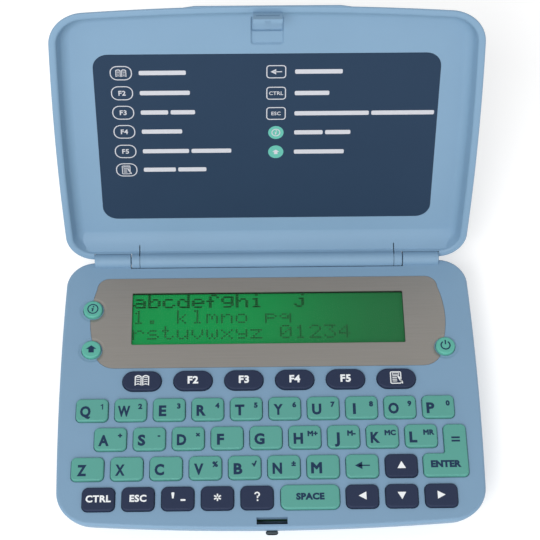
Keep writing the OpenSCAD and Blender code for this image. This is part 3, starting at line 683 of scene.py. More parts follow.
def scattered(name: str, points: Sequence[Point3], shape: Callable[[Tree, dict], Socket],
              sizes: dict[str, float], finish: Finish) -> Solid:
    """Repeat a small shape on points with Geometry Nodes, as one plain mesh.

    Args:
        name: The object's name.
        points: Where the copies go, in millimetres.
        shape: Builds the copy's nodes from the tree and its named size sockets.
        sizes: Named sizes in millimetres, which become the tree's inputs.
        finish: The finish of every copy.

    Returns:
        The object.
    """
    mesh = bpy.data.meshes.new(name)
    mesh.from_pydata([tuple(c * MM for c in p) for p in points], [], [])
    obj = linked(name, mesh)
    tree = bpy.data.node_groups.new(name, "GeometryNodeTree")
    tree.interface.new_socket("Points", in_out="INPUT", socket_type="NodeSocketGeometry")
    sockets = {label: tree.interface.new_socket(label, in_out="INPUT", socket_type="NodeSocketFloat")
               for label in sizes}
    tree.interface.new_socket("Mesh", in_out="OUTPUT", socket_type="NodeSocketGeometry")
    entry = add_node(tree, "NodeGroupInput")
    made = shape(tree, {label: entry.outputs[label] for label in sizes})
    copies = add_node(tree, "GeometryNodeInstanceOnPoints", None, {
        "Points": entry.outputs["Points"], "Instance": made})
    solid = add_node(tree, "GeometryNodeRealizeInstances", None, {
        "Geometry": copies.outputs["Instances"]})
    painted = add_node(tree, "GeometryNodeSetMaterial", None, {
        "Geometry": solid.outputs["Geometry"], "Material": material_of(finish)})
    add_node(tree, "NodeGroupOutput", None, {0: painted.outputs["Geometry"]})
    modifier = obj.modifiers.new("repeat", "NODES")
    modifier.node_group = tree
    for label, size in sizes.items():
        modifier[sockets[label].identifier] = size * MM
    return bake(obj)


def block_shape(tree: Tree, size: dict) -> Socket:
    """Small block from Width, Depth and Height."""
    triple = add_node(tree, "ShaderNodeCombineXYZ", None, {
        "X": size["Width"], "Y": size["Depth"], "Z": size["Height"]})
    cube = add_node(tree, "GeometryNodeMeshCube", None, {"Size": triple.outputs["Vector"]})
    return cube.outputs["Mesh"]


def screw_shape(tree: Tree, size: dict) -> Socket:
    """Screw seen from below: a head with a cross recess, and its shank."""
    head_h = size["Head Height"]
    middle = add_node(tree, "ShaderNodeMath", {"operation": "MULTIPLY"}, {0: head_h, 1: 0.5})
    high = add_node(tree, "ShaderNodeMath", {"operation": "MULTIPLY_ADD"}, {
        0: size["Shank Length"], 1: 0.5, 2: middle.outputs[0]})
    rods = []
    for sides, radius, length, lift in ((48, "Head Radius", "Head Height", middle),
                                        (32, "Shank Radius", "Shank Length", high)):
        rod = add_node(tree, "GeometryNodeMeshCylinder", None, {
            "Vertices": sides, "Radius": size[radius], "Depth": size[length]})
        up = add_node(tree, "ShaderNodeCombineXYZ", None, {"Z": lift.outputs[0]})
        rods.append(add_node(tree, "GeometryNodeTransform", None, {
            "Geometry": rod.outputs["Mesh"], "Translation": up.outputs["Vector"]}))
    cross = add_node(tree, "GeometryNodeMeshBoolean", {"operation": "UNION"})
    for width, depth in (("Slot Length", "Slot Width"), ("Slot Width", "Slot Length")):
        arm = block_shape(tree, {"Width": size[width], "Depth": size[depth], "Height": head_h})
        tree.links.new(arm, cross.inputs["Mesh 2"])
    cut = add_node(tree, "GeometryNodeMeshBoolean", {"operation": "DIFFERENCE"}, {
        "Mesh 1": rods[0].outputs["Geometry"], "Mesh 2": cross.outputs["Mesh"]})
    both = add_node(tree, "GeometryNodeJoinGeometry")
    for solid in (cut.outputs["Mesh"], rods[1].outputs["Geometry"]):
        tree.links.new(solid, both.inputs["Geometry"])
    return both.outputs["Geometry"]


# Lettering and pictograms


def inked(name: str, outlines: Sequence[Sequence[Point2]]) -> Solid:
    """Thin printed mark made of simple anticlockwise outlines, lying on Z = 0."""
    return joined(name, [prism(name, outline, 0, INK_HEIGHT) for outline in outlines])


def ring_mark(name: str, outer: Sequence[Point2], inner: Sequence[Point2]) -> Solid:
    """Printed band between two outlines with equal numbers of points."""
    return skinned(name, [raised(outer, 0), raised(outer, INK_HEIGHT), raised(inner, INK_HEIGHT),
                          raised(inner, 0)], band=True)


def text_mesh(text: str, size: float, weight: float, spacing: float) -> bpy.types.Mesh:
    """Mesh of a line of text in the built-in font, thickened by a bevel.

    Args:
        text: What is printed.
        size: The font's size.
        weight: How far each stroke is thickened on both sides.
        spacing: Space between letters.

    Returns:
        The mesh, with its base line on Y = 0.
    """
    curve = bpy.data.curves.new("letters", "FONT")
    curve.body, curve.size, curve.space_character = text, size, spacing
    curve.bevel_depth, curve.bevel_resolution, curve.resolution_u = weight, 0, 3
    curve.extrude = 0.01
    holder = linked("letters", curve)
    depsgraph = bpy.context.evaluated_depsgraph_get()
    mesh = bpy.data.meshes.new_from_object(holder.evaluated_get(depsgraph), depsgraph=depsgraph)
    bpy.data.objects.remove(holder)
    bpy.data.curves.remove(curve)
    return mesh


@lru_cache(maxsize=1)
def cap_share() -> float:
    """Height of a capital as a share of the built-in font's size."""
    mesh = text_mesh("H", 1.0, 0.0, 1.0)
    ys = [v.co.y for v in mesh.vertices]
    bpy.data.meshes.remove(mesh)
    return max(ys) - min(ys)


def lettering(text: str, cap_height: float, weight: float = 0.035, spacing: float = 1.0) -> Solid:
    """Letters as a thin solid on Z = 0.

    Args:
        text: What is printed.
        cap_height: Height of a capital, with its thickening.
        weight: How far the strokes are thickened, as a share of the font's size.
        spacing: Space between letters.

    Returns:
        The object, with the middle of its capitals on Y = 0.
    """
    size = cap_height / (cap_share() + 2 * weight)
    mesh = text_mesh(text, size, weight * size, spacing)
    heights = [v.co.z for v in mesh.vertices]
    low, high = min(heights), max(heights)
    for v in mesh.vertices:
        v.co.z = INK_HEIGHT * (v.co.z - low) / (high - low)
        v.co.y -= cap_share() * size / 2
    return moved(linked("letters", mesh), Matrix.Scale(MM, 4))


def levelled(obj: Solid) -> Solid:
    """Put the middle of a mark's own height on Y = 0."""
    ys = [v.co.y for v in obj.data.vertices]
    return moved(obj, Matrix.Translation((0, -(min(ys) + max(ys)) / 2, 0)))


def width_of(obj: Solid) -> float:
    """Width of a mark in millimetres."""
    xs = [v.co.x for v in obj.data.vertices]
    return (max(xs) - min(xs)) / MM


class Align(Enum):
    """Where a mark's own width lies against its place."""

    LEFT = 0.0
    CENTRE = 0.5


def placed(obj: Solid, x: float, y: float, z: float, align: Align = Align.CENTRE) -> Solid:
    """Move a mark to its place, in millimetres.

    Args:
        obj: The mark.
        x: Place of the aligned end.
        y: Place of its middle.
        z: Height of what it is printed on.
        align: Which end of it lies at x.

    Returns:
        The mark.
    """
    low = min(v.co.x for v in obj.data.vertices) / MM
    start = x - width_of(obj) * align.value
    return moved(obj, Matrix.Translation(Vector((start - low, y, z)) * MM))


def arc_band(radius: float, width: float, start: float, end: float, sides: int = 28) -> list[Point2]:
    """Outline of an open ring between two angles in degrees."""
    first, last = math.radians(start), math.radians(end)
    outer, inner = (arc(radius + side * width / 2, (0, 0), first, last, sides) for side in (1, -1))
    return outer + inner[::-1]


def triangle(size: float, heading: float) -> list[Point2]:
    """Solid arrow head that points along a heading in degrees."""
    return turned(sized([(0.55, 0), (-0.45, 0.55), (-0.45, -0.55)], size), heading)


def back_arrow(length: float) -> Solid:
    """Arrow to the left with a thin shaft."""
    head = [(x - length * 0.28, y) for x, y in triangle(length * 0.5, 180)]
    shaft = bar((-length * 0.3, length * 0.46), even(length * 0.045))
    return inked("arrow", [head, shaft])


def shift_arrow(size: float) -> Solid:
    """Broad arrow upwards, solid."""
    half, neck, foot = 0.5, 0.25, 0.38
    plan = [(0, foot), (-half, 0), (-neck, 0), (-neck, -foot), (neck, -foot), (neck, 0), (half, 0)]
    return inked("shift", [sized(plan, size)])


def narrowed(mark: Solid, limit: float) -> Solid:
    """Squeeze a mark sideways where it is wider than a limit in millimetres."""
    wide = width_of(mark)
    return moved(mark, Matrix.Diagonal((min(1.0, limit / wide), 1.0, 1.0, 1.0)))


def one_mark(size: float) -> Solid:
    """Small digit one with its flag."""
    shape = [(0.2, -0.5), (0.2, 0.5), (0.06, 0.5), (-0.22, 0.3), (-0.22, 0.12), (0.02, 0.27),
             (0.02, -0.5)]
    return inked("one", [sized(shape, size)])


def question_mark(size: float) -> Solid:
    """Question mark of an open ring, a stem and a dot."""
    drawn_size = 2.8
    hook = [(x, y + 0.8) for x, y in arc_band(0.62, 0.42, 175, -75)]
    stem, dot = bar((-0.1, 0.31), (-0.4, 0.38)), bar((-0.12, 0.33), (-1.3, -0.83))
    return inked("question", [sized(part, size / drawn_size) for part in (hook, stem, dot)])


def star_mark(size: float) -> Solid:
    """Asterisk of three crossed bars."""
    arm = rectangle(size, size * 0.18)
    return inked("star", [turned(arm, 90 + 60 * k) for k in range(3)])


def power_mark(size: float) -> Solid:
    """Ring open at the top with a short bar in the gap."""
    width = size * 0.13
    return inked("power", [arc_band(size * 0.42, width, 122, 418),
                           bar(even(width / 2), (size * 0.08, size * 0.55))])


def info_mark(size: float) -> Solid:
    """Slanted letter i in a ring, with a dot and a foot."""
    ring = ring_mark("ring", disc(size / 2), disc(size / 2 - size * 0.1))
    half, lean = size * 0.065, 0.22
    stem = [(x + lean * y, y) for x, y in bar(even(half), (-size * 0.25, size * 0.07))]
    serif = [(x + lean * size * 0.04, y) for x, y in bar((-half * 2.2, 0.0), (0.0, size * 0.07))]
    dot = disc(size * 0.075, (lean * size * 0.22, size * 0.22), 16)
    return joined("info", [ring, inked("letter", [stem, serif, dot])])


def book_mark(size: float) -> Solid:
    """Open book: two bowed pages in outline, with three lines on each."""
    half, line = size / 2, size * 0.075
    steps = [i / 8 for i in range(9)]
    marks: list[Solid] = []
    for side in (-1, 1):
        near, far = side * line * 0.35, side * half

        def page(inset: float, near: float = near, far: float = far, side: int = side) -> list[Point2]:
            """Outline of a page, drawn in."""
            low, high = -half * 0.82 + inset, half * 0.62 - inset
            xs = [near + side * inset + (far - near - 2 * side * inset) * t for t in steps]
            bow = [size * 0.1 * math.sin(math.pi * t) for t in steps]
            points = [(x, low + b) for x, b in zip(xs, bow)]
            points += [(x, high + b) for x, b in zip(xs[::-1], bow[::-1])]
            return points if side > 0 else points[::-1]

        marks.append(ring_mark("page", page(0), page(line)))
        for k in range(3):
            y = half * (0.26 - 0.32 * k)
            xs = [near + (far - near) * (0.26 + 0.5 * t) for t in steps]
            rise = [size * 0.1 * math.sin(math.pi * (0.26 + 0.5 * t)) for t in steps]
            row = [(x, y + r - line * 0.3) for x, r in zip(xs, rise)]
            row += [(x, y + r + line * 0.4) for x, r in zip(xs[::-1], rise[::-1])]
            marks.append(inked("row", [row if side > 0 else row[::-1]]))
    return joined("book", marks)


def notes_mark(size: float) -> Solid:
    """Sheet of notes with a heading box, lines and a slanted pencil."""
    half, line = size / 2, size * 0.075
    middle = -size * 0.08
    sheet = rectangle(size * 0.82, size, (middle, 0))
    frame_ring = ring_mark("sheet", *[rounded(sheet, size * 0.1, inset, 4) for inset in (0, line)])
    heading = ring_mark("heading", *[rectangle(size * 0.5 - less, size * 0.17 - less,
                                               (middle, half * 0.62)) for less in (0, line)])
    rows = [bar((-half * 0.66, half * (0.3 if k == 0 else 0.02)), (half * y, half * y + line * 0.8))
            for k, y in enumerate((0.22, -0.06, -0.34, -0.62))]
    lean_deg, thick = -62, line * 0.9
    pencil = [(x + half * 0.5, y - half * 0.35) for x, y in turned(
        [(-half * 0.62, -thick), (half * 0.5, -thick), (half * 0.75, 0), (half * 0.5, thick),
         (-half * 0.62, thick)], lean_deg)]
    return joined("notes", [frame_ring, heading, inked("lines", rows + [pencil])])


# The object's own sizes


@dataclass
class CaseOutline:
    """Plan that both halves share, counted from the hinge line."""

    width: float = 127.4
    depth: float = 91.5
    side_bow: float = 0.6
    front_bow: float = 1.8
    front_corner_r: float = 11.0
    rear_corner_r: float = 9.0
    edge_gap: float = 0.3
    least_r: float = 0.8
    arc_steps: int = 18
    side_steps: int = 12
    front_steps: int = 14

    def half(self, inset: float) -> list[Point2]:
        """Right half, from the hinge edge round to the middle of the front.

        Args:
            inset: How far the outline is drawn in.

        Returns:
            Points as X and the place from the hinge line, negative to the front.
        """
        side_x = self.width / 2 - inset
        rear_r = max(self.rear_corner_r - inset, self.least_r)
        front_r = max(self.front_corner_r - inset, self.least_r)
        rear_y = -self.edge_gap - inset - rear_r
        front_x = side_x - front_r
        slope = math.atan(2 * self.front_bow / front_x)
        end_x = front_x + front_r * math.sin(slope)
        end_y = -self.depth + inset + self.front_bow
        front_y = end_y + front_r * math.cos(slope)
        points = arc(rear_r, (side_x - rear_r, rear_y), math.pi / 2, 0, self.arc_steps)
        for i in range(1, self.side_steps):
            t = -1 + 2 * i / self.side_steps
            points.append((side_x + self.side_bow * (1 - t * t),
                           (rear_y + front_y) / 2 - t * (rear_y - front_y) / 2))
        points += arc(front_r, (front_x, front_y), 0, slope - math.pi / 2, self.arc_steps)
        for i in range(1, self.front_steps):
            t = 1 - i / self.front_steps
            points.append((end_x * t, end_y - self.front_bow * (1 - t * t)))
        points.append((0.0, -self.depth + inset))
        return points

    def whole(self, inset: float) -> list[Point2]:
        """Whole outline for an inset."""
        half = self.half(inset)
        return half + [(-x, y) for x, y in half[-2::-1]]


@dataclass
class BaseCase:
    """Both shells of the base, its battery cover and its screws."""

    outline: CaseOutline = field(default_factory=CaseOutline)
    height: float = 16.5
    part_h: float = 9.0
    tuck: float = 11.5
    edge_r: float = 0.8
    wall_t: float = 2.0
    deck_t: float = 1.8
    floor_t: float = 2.0
    gap: float = 0.3
    barrel_r: float = 2.55
    barrel_half: float = 43.2
    ear_w: float = 11.5
    ear_step: float = 0.15
    trough_t: float = 1.5
    stub_len: float = 3.0
    side_slant: float = 0.2
    stub_bore: float = 1.05
    groove: float = 0.14
    screw_spots: tuple[Point2, ...] = ((53.3, 34.85), (53.3, 3.16))
    head_seat_z: float = 5.4
    upper_boss_r: float = 2.8
    lower_boss_r: float = 3.2
    well_r: float = 2.3
    shaft_r: float = 1.25
    cover_half: float = 48.5
    cover_front_y: float = 17.5
    cover_t: float = 1.6
    cover_frame: float = 1.4
    rail_half: float = 1.0
    rail_z: Point2 = (0.7, 1.2)
    rail_back: float = 9.5
    rail_play: float = 0.15
    grip_slots: int = 5
    grip_pitch: float = 1.6
    bay: tuple[Point2, Point2] = ((-47.2, 47.2), (20.3, 31.7))
    bay_wall: float = 1.2
    bay_top: float = 12.95

    @property
    def hinge_y(self) -> float:
        """Place of the hinge line."""
        return self.outline.depth / 2

    @property
    def axis_z(self) -> float:
        """Height of the hinge line."""
        return self.height + self.gap / 2

    @property
    def rim_z(self) -> float:
        """Height at which the deck's rounded edge starts."""
        return self.height - self.edge_r

    @property
    def deck_z(self) -> float:
        """Height of the deck's underside."""
        return self.height - self.deck_t

    def ring(self, inset: float, z: float) -> Ring:
        """One ring of the case at a height."""
        return [(x, y + self.hinge_y, z) for x, y in self.outline.whole(inset)]

    def tuck_rings(self, z_from: float, z_to: float, steps: int, extra: float = 0.0) -> list[Ring]:
        """Rings down or up the case's side.

        Args:
            z_from: Height of the first ring.
            z_to: Height of the last ring.
            steps: Steps between them.
            extra: Wall thickness to add to the inset.

        Returns:
            The rings.
        """
        start, end = (math.asin((self.rim_z - z) / self.rim_z) for z in (z_from, z_to))
        rings = []
        for i in range(steps + 1):
            a = start + (end - start) * i / steps
            z = self.rim_z * (1 - math.sin(a))
            rings.append(self.ring(self.tuck_at(z) + extra, z))
        return rings

    def tuck_at(self, z: float) -> float:
        """Inset of the side at a height: a slant, and a quarter ellipse on top of it."""
        drop = (self.rim_z - z) / self.rim_z
        slant = self.side_slant * self.rim_z
        return slant * drop + (self.tuck - slant) * (1 - math.sqrt(max(0.0, 1 - drop ** 2)))

    def top_shell(self, keys: "Keyboard", display: "Display", latch: "Latch") -> Solid:
        """Deck and upper side wall, with the ears, the trough and every hole.

        Args:
            keys: The keyboard, for the key holes.
            display: The display, for its recess.
            latch: The latch, for its slot and the button's hole.

        Returns:
            The shell.
        """
        side = self.tuck_rings(self.part_h + self.groove, self.rim_z, 9)
        edge = [self.ring(inset, z) for inset, z in rolled(self.edge_r, self.height, 1)]
        groove = self.ring(self.tuck_at(self.part_h) + self.groove, self.part_h)
        shell = skinned("top_shell", [*self.tuck_rings(self.deck_z, self.part_h, 5, self.wall_t),
                                      groove, *side, *edge])
        channel_r, channel_x = self.barrel_r + self.gap, self.barrel_half + self.gap
        ear_x = channel_x + self.ear_w
        centre = (self.hinge_y, self.axis_z)
        combined(shell, [
            extruded_x("trough", self.trough(channel_r + self.trough_t), even(ear_x + 1)),
            *mirrored(lambda s: self.ear(s, channel_x, ear_x)),
            *self.posts("boss", self.upper_boss_r, self.part_h + 0.01, self.deck_z + 0.5)], "UNION")
        combined(shell, [
            rod_x("channel", channel_r, even(channel_x), centre),
            *mirrored(lambda s: rod_x("bore", self.stub_bore,
                                      span(s, channel_x - 1, channel_x + self.stub_len),
                                      centre, sides=32)),
            joined("key_holes", keys.holes(self.height, self.deck_z)),
            joined("dishes", keys.dishes(self.height)),
            *display.cutters(self.height, self.deck_z), *latch.cutters(self)], "DIFFERENCE")
        dress(smoothed(shell), Finish.CASE)
        display.shade_window_walls(shell)
        return settle(shell, "base", "case_plastic", "base_top_shell")

    def trough(self, radius: float) -> list[Point2]:
        """Profile of the wall below the hinge's channel, which hangs from the deck."""
        end_y, top = self.hinge_y - 1, self.deck_z + 0.9
        bowl = arc(radius, (self.hinge_y, self.axis_z), math.pi, 1.62 * math.pi, 20)
        wall = [(y, z) for y, z in bowl if z < top - 0.05 and y < end_y]
        return [(end_y, top), (bowl[0][0], top), *wall, (end_y, wall[-1][1])]

    def posts(self, name: str, radius: float, z_low: float, z_high: float) -> list[Solid]:
        """Round solid at each of the four screws.

        Args:
            name: The name of each solid.
            radius: Its radius.
            z_low: Its lowest height.
            z_high: Its highest height.

        Returns:
            The four solids.
        """
        return [prism(name, disc(radius, (s * x, y)), z_low, z_high)
                for x, y in self.screw_spots for s in (-1, 1)]

    def ear(self, side: int, near: float, far: float) -> Solid:
        """Round ear that holds a stub pin, with both ends chamfered.

        Args:
            side: -1 for the left one and 1 for the right one.
            near: End beside the barrel.
            far: End at the corner.

        Returns:
            The ear.
        """
        radius, near_edge, far_edge = self.barrel_r - self.ear_step, 0.1, 0.3
        stops = ((near, radius - near_edge), (near + near_edge, radius), (far - far_edge, radius),
                 (far, radius - far_edge))
        return skinned("ear", [across(disc(r, (self.hinge_y, self.axis_z), 64), side * x)
                               for x, r in stops])

    def bottom_shell(self) -> Solid:
        """Lower side wall and floor, with the battery bay and the screw wells."""
        lip_h, lip_t, lip_play = 1.2, 1.0, 0.12
        near = self.tuck_at(self.part_h) + self.wall_t + lip_play
        far = near + lip_t
        foot = [self.ring(self.tuck + 0.35, 0.0), self.ring(self.tuck + 0.1, 0.03)]
        groove = self.ring(self.tuck_at(self.part_h) + self.groove, self.part_h)
        lip = [self.ring(inset, self.part_h + rise)
               for inset, rise in ((near, 0), (near, lip_h), (far, lip_h), (far, -lip_h))]
        shell = skinned("bottom_shell", [
            *foot, *self.tuck_rings(0.3, self.part_h - self.groove, 14), groove, *lip,
            *self.tuck_rings(self.part_h - 2.5 * lip_h, self.floor_t, 4, self.wall_t)])
        (x0, x1), (y0, y1) = self.bay
        wall, gap = self.bay_wall, self.gap
        rail_x = self.cover_half + self.rail_half
        combined(shell, [
            box("bay_walls", (x0 - wall, x1 + wall), (y0 - wall, y1 + wall),
                (self.cover_t, self.bay_top)),
            box("cover_frame", even(rail_x + self.rail_half),
                (self.cover_front_y - self.cover_frame, self.hinge_y - 8),
                (self.floor_t / 2, self.cover_t + 1.6)),
            *self.posts("boss", self.lower_boss_r, self.floor_t + 1.5, self.part_h - 0.01)], "UNION")
        combined(shell, [
            box("bay", (x0, x1), (y0, y1), (-1, self.bay_top - 0.5)),
            box("cover_space", even(self.cover_half + gap),
                (self.cover_front_y - gap, self.hinge_y + 5), (-1, self.cover_t + gap)),
            box("rail_space", even(rail_x + gap), (self.cover_front_y + 1 - gap, self.hinge_y - 6.5),
                (self.rail_z[0] - self.rail_play, self.rail_z[1] + self.rail_play)),
            joined("wells", self.posts("well", self.well_r, -1, self.head_seat_z)),
            joined("shafts", self.posts("shaft", self.shaft_r, self.head_seat_z - 0.5,
                                        self.part_h + 2))], "DIFFERENCE")
        return settle(dress(smoothed(shell), Finish.CASE), "base", "case_plastic", "base_bottom_shell")

    def cover(self) -> Solid:
        """Battery cover: a piece of the underside on two rails, with grip ribs cut in."""
        cover = skinned("cover", [self.ring(self.tuck + 0.1, 0.0), *self.tuck_rings(0.06, 3, 6)])
        combined(cover, [box("trim", even(self.cover_half), (self.cover_front_y, self.hinge_y + 5),
                             (-1, self.cover_t))], "INTERSECT")
        combined(cover, mirrored(lambda s: box(
            "rail", span(s, self.cover_half - self.rail_half, self.cover_half + self.rail_half),
            (self.cover_front_y + 1, self.hinge_y - self.rail_back), self.rail_z)), "UNION")
        first_slot = self.cover_front_y + 3.9
        slots = [(0, first_slot + self.grip_pitch * i, -0.05) for i in range(self.grip_slots)]
        size = {"Width": 18, "Depth": 0.8, "Height": 0.9}
        combined(cover, [scattered("grip_slots", slots, block_shape, size, Finish.CASE)], "DIFFERENCE")
        return settle(dress(smoothed(cover), Finish.CASE), "battery_cover", "case_plastic",
                      "battery_cover")

    def screws(self) -> Solid:
        """The four case screws, heads down in their wells."""
        spots = [(s * x, y, self.head_seat_z - 1.5) for x, y in self.screw_spots for s in (-1, 1)]
        made = scattered("screws", spots, screw_shape, {
            "Head Radius": 2.0, "Head Height": 1.5, "Shank Radius": 1.1, "Shank Length": 7.4,
            "Slot Length": 2.2, "Slot Width": 0.5}, Finish.STEEL)
        return settle(smoothed(made), "base", "screw_steel", "case_screws")

    def build(self, keys: "Keyboard", display: "Display", latch: "Latch") -> None:
        """Build every piece of the case."""
        self.top_shell(keys, display, latch)
        self.bottom_shell()
        self.cover()
        self.screws()


class KeyKind(Enum):
    """Kinds of key: width, depth and corner radius, where one size fits."""

    LETTER = (9.7, 7.5, 1.5)
    CONTROL = (9.6, 7.4, 1.7)
    PILL = (11.9, 6.6, 3.2)
    SPACE = (17.4, 7.7, 2.0)
    CORNER = (13.5, 17.0, 1.5)
    ROUND = (6.0, 6.0, 3.0)


@dataclass
class Key:
    """One key: its node's name, kind, place and labels."""

    name: str
    kind: KeyKind
    x: float
    y: float
    label: str = ""
    small: str = ""

    @property
    def dark(self) -> bool:
        """Whether the key is a dark one."""
        return self.kind in (KeyKind.PILL, KeyKind.CONTROL)

    def plan(self, inset: float) -> list[Point2]:
        """Outline of the key, drawn in by an inset, in the case's frame."""
        width, depth, radius = self.kind.value
        if self.kind is KeyKind.ROUND:
            return disc(width / 2 - inset, (self.x, self.y), 48)
        corners, radii = rectangle(width, depth), radius
        if self.kind is KeyKind.CORNER:
            arm, foot_d, inner_r = 6.8, 7.5, 0.8
            corners = [(-width, -depth / 2), (0, -depth / 2), (0, depth / 2), (-arm, depth / 2),
                       (-arm, foot_d - depth / 2), (-width, foot_d - depth / 2)]
            radii = [radius] * 4 + [inner_r, radius]
        return [(self.x + px, self.y + py) for px, py in rounded(corners, radii, inset)]


# Pictogram and size of each key that has one, and the way each arrow key points, in degrees
PICTURES: dict[str, tuple[Callable[[float], Solid], float]] = {
    "key_function_1": (book_mark, 4.4), "key_function_6": (notes_mark, 4.2),
    "key_backspace": (back_arrow, 4.4), "key_info": (info_mark, 3.5), "key_shift": (shift_arrow, 3.3),
    "key_power": (power_mark, 3.3), "key_star": (star_mark, 2.3), "key_question": (question_mark, 2.8)}
ARROWS = {"key_up": 90, "key_down": -90, "key_left": 180, "key_right": 0}
# Greatest width of a capital, and how far its middle lies from the common place
CAPITAL_WIDTH = 2.85
CAPITAL_WIDTHS = {"W": 3.8, "Q": 3.2, "A": 3.15, "M": 3.3, "O": 3.2, "G": 3.1}
CAPITAL_SHIFTS = {"P": -0.45, "L": -0.45, "K": -0.2, "I": -0.25, "S": -0.3, "Z": 0.35}


@dataclass
class Keyboard:
    """The 47 keys with their printed labels."""

    key_pitch: float = 11.69
    row_pitch: float = 9.67
    front_row_y: float = -36.25
    function_gap: float = 9.8
    pill_pitch: float = 15.62
    row_starts: tuple[float, ...] = (-53.94, -48.1, -54.61)
    front_start: float = -51.04
    space_x: float = 11.4
    arrows_x: float = 26.81
    corner_x: float = 59.0
    side_x: float = 55.0
    top: float = 17.4
    info_y: float = 27.85
    shift_y: float = 13.65
    flange_z: float = 14.45
    flange_t: float = 1.0
    flange_w: float = 0.5
    edge_r: float = 0.5
    hole_gap: float = 0.14
    letter_rows: tuple[str, ...] = ("qwertyuiop", "asdfghjkl", "zxcvbnm")
    keys: list[Key] = field(default_factory=list)

    def __post_init__(self) -> None:
        """Lay the keys out."""
        small = dict(zip("qwertyuiop", "1234567890"))
        small.update(zip("asdhjkl", ("+", "-", "×", "M+", "M-", "MC", "MR")))
        small.update(zip("vbn", ("%", "√", "±")))
        top_y = self.front_row_y + 3 * self.row_pitch
        for i in range(6):
            self.keys.append(Key(f"key_function_{i + 1}", KeyKind.PILL, (i - 2.5) * self.pill_pitch,
                                 top_y + self.function_gap, f"F{i + 1}" if 0 < i < 5 else ""))
        for r, letters in enumerate(self.letter_rows):
            for i, letter in enumerate(letters):
                self.keys.append(Key(f"key_{letter}", KeyKind.LETTER,
                                     self.row_starts[r] + i * self.key_pitch,
                                     top_y - r * self.row_pitch, letter.upper(), small.get(letter, "")))
        low_x, low_y = self.row_starts[2], top_y - 2 * self.row_pitch
        self.keys += [
            Key("key_backspace", KeyKind.LETTER, low_x + 7 * self.key_pitch, low_y),
            Key("key_up", KeyKind.CONTROL, low_x + 8 * self.key_pitch, low_y),
            Key("key_enter", KeyKind.CORNER, self.corner_x, top_y - 1.5 * self.row_pitch),
            Key("key_space", KeyKind.SPACE, self.space_x, self.front_row_y, "SPACE"),
            Key("key_info", KeyKind.ROUND, -self.side_x, self.info_y),
            Key("key_shift", KeyKind.ROUND, -self.side_x, self.shift_y),
            Key("key_power", KeyKind.ROUND, self.side_x, self.shift_y)]
        signs = {"control": "CTRL", "escape": "ESC", "apostrophe": "", "star": "", "question": ""}
        arrows = dict.fromkeys(("left", "down", "right"), "")
        for x, labels in ((self.front_start, signs), (self.arrows_x, arrows)):
            for i, (name, label) in enumerate(labels.items()):
                self.keys.append(Key(f"key_{name}", KeyKind.CONTROL, x + i * self.key_pitch,
                                     self.front_row_y, label))

    def holes(self, deck_top: float, deck_z: float) -> list[Solid]:
        """Cutters for the key holes, each with a small chamfer at the deck.

        Args:
            deck_top: Height of the deck's top.
            deck_z: Height of its underside.

        Returns:
            The cutters.
        """
        chamfer, rise, grow = 0.1, 1.0, self.hole_gap
        stops = ((grow, deck_z - 1), (grow, deck_top - chamfer),
                 (grow + chamfer + rise, deck_top + rise))
        return [skinned("hole", [raised(key.plan(-wide), z) for wide, z in stops]) for key in self.keys]

    def dishes(self, deck_top: float) -> list[Solid]:
        """Cutters for the shallow dishes round the round keys.

        Args:
            deck_top: Height of the deck's top.

        Returns:
            The cutters.
        """
        profile = ((3.4, -0.25), (3.75, -0.2), (4.1, -0.08), (4.3, 0.0), (5.2, 0.25))
        return [skinned("dish", [raised(disc(radius, (key.x, key.y), 64), deck_top + rise)
                                 for radius, rise in profile])
                for key in self.keys if key.kind is KeyKind.ROUND]

    def cap(self, key: Key) -> Solid:
        """Solid of one key: flange, upright sides, a rolled edge and a flat top.

        Args:
            key: The key.

        Returns:
            The solid.
        """
        low = self.flange_z - self.flange_t
        stops = [(-self.flange_w, low), (-self.flange_w, self.flange_z), (0.0, self.flange_z),
                 (0.0, self.top - self.edge_r), *rolled(self.edge_r, self.top, 1)]
        cap = skinned(key.name + "_cap", [raised(key.plan(inset), z) for inset, z in stops])
        if key.kind is KeyKind.ROUND:
            return dress(cap, Finish.ROUND_TEAL)
        return dress(cap, Finish.NAVY if key.dark else Finish.TEAL)

    def lettered(self, key: Key) -> list[tuple[Solid, float, float]]:
        """Lettering of one key, each part with its place on the cap.

        Args:
            key: The key, which has a label.

        Returns:
            Each part with its X and Y from the key's middle.
        """
        if key.kind is not KeyKind.LETTER:
            height = 2.55 if key.kind is KeyKind.PILL else 2.2
            weight = {KeyKind.PILL: 0.04, KeyKind.SPACE: 0.06}.get(key.kind, 0.035)
            return [(lettering(key.label, height, weight, 1.08), 0, 0)]
        capital_h, small_h, small_y = 3.65, 1.8, 0.95
        capital = narrowed(lettering(key.label, capital_h, 0.045),
                           CAPITAL_WIDTHS.get(key.label, CAPITAL_WIDTH))
        found = [(capital, -2.0 + CAPITAL_SHIFTS.get(key.label, 0), -0.6)]
        if key.small == "1":
            found.append((one_mark(small_h), 2.95, small_y))
        elif key.small:
            small_x = 2.9 if len(key.small) == 1 else 2.35
            found.append((lettering(key.small, small_h, 0.06, 1.05), small_x, small_y))
        return found

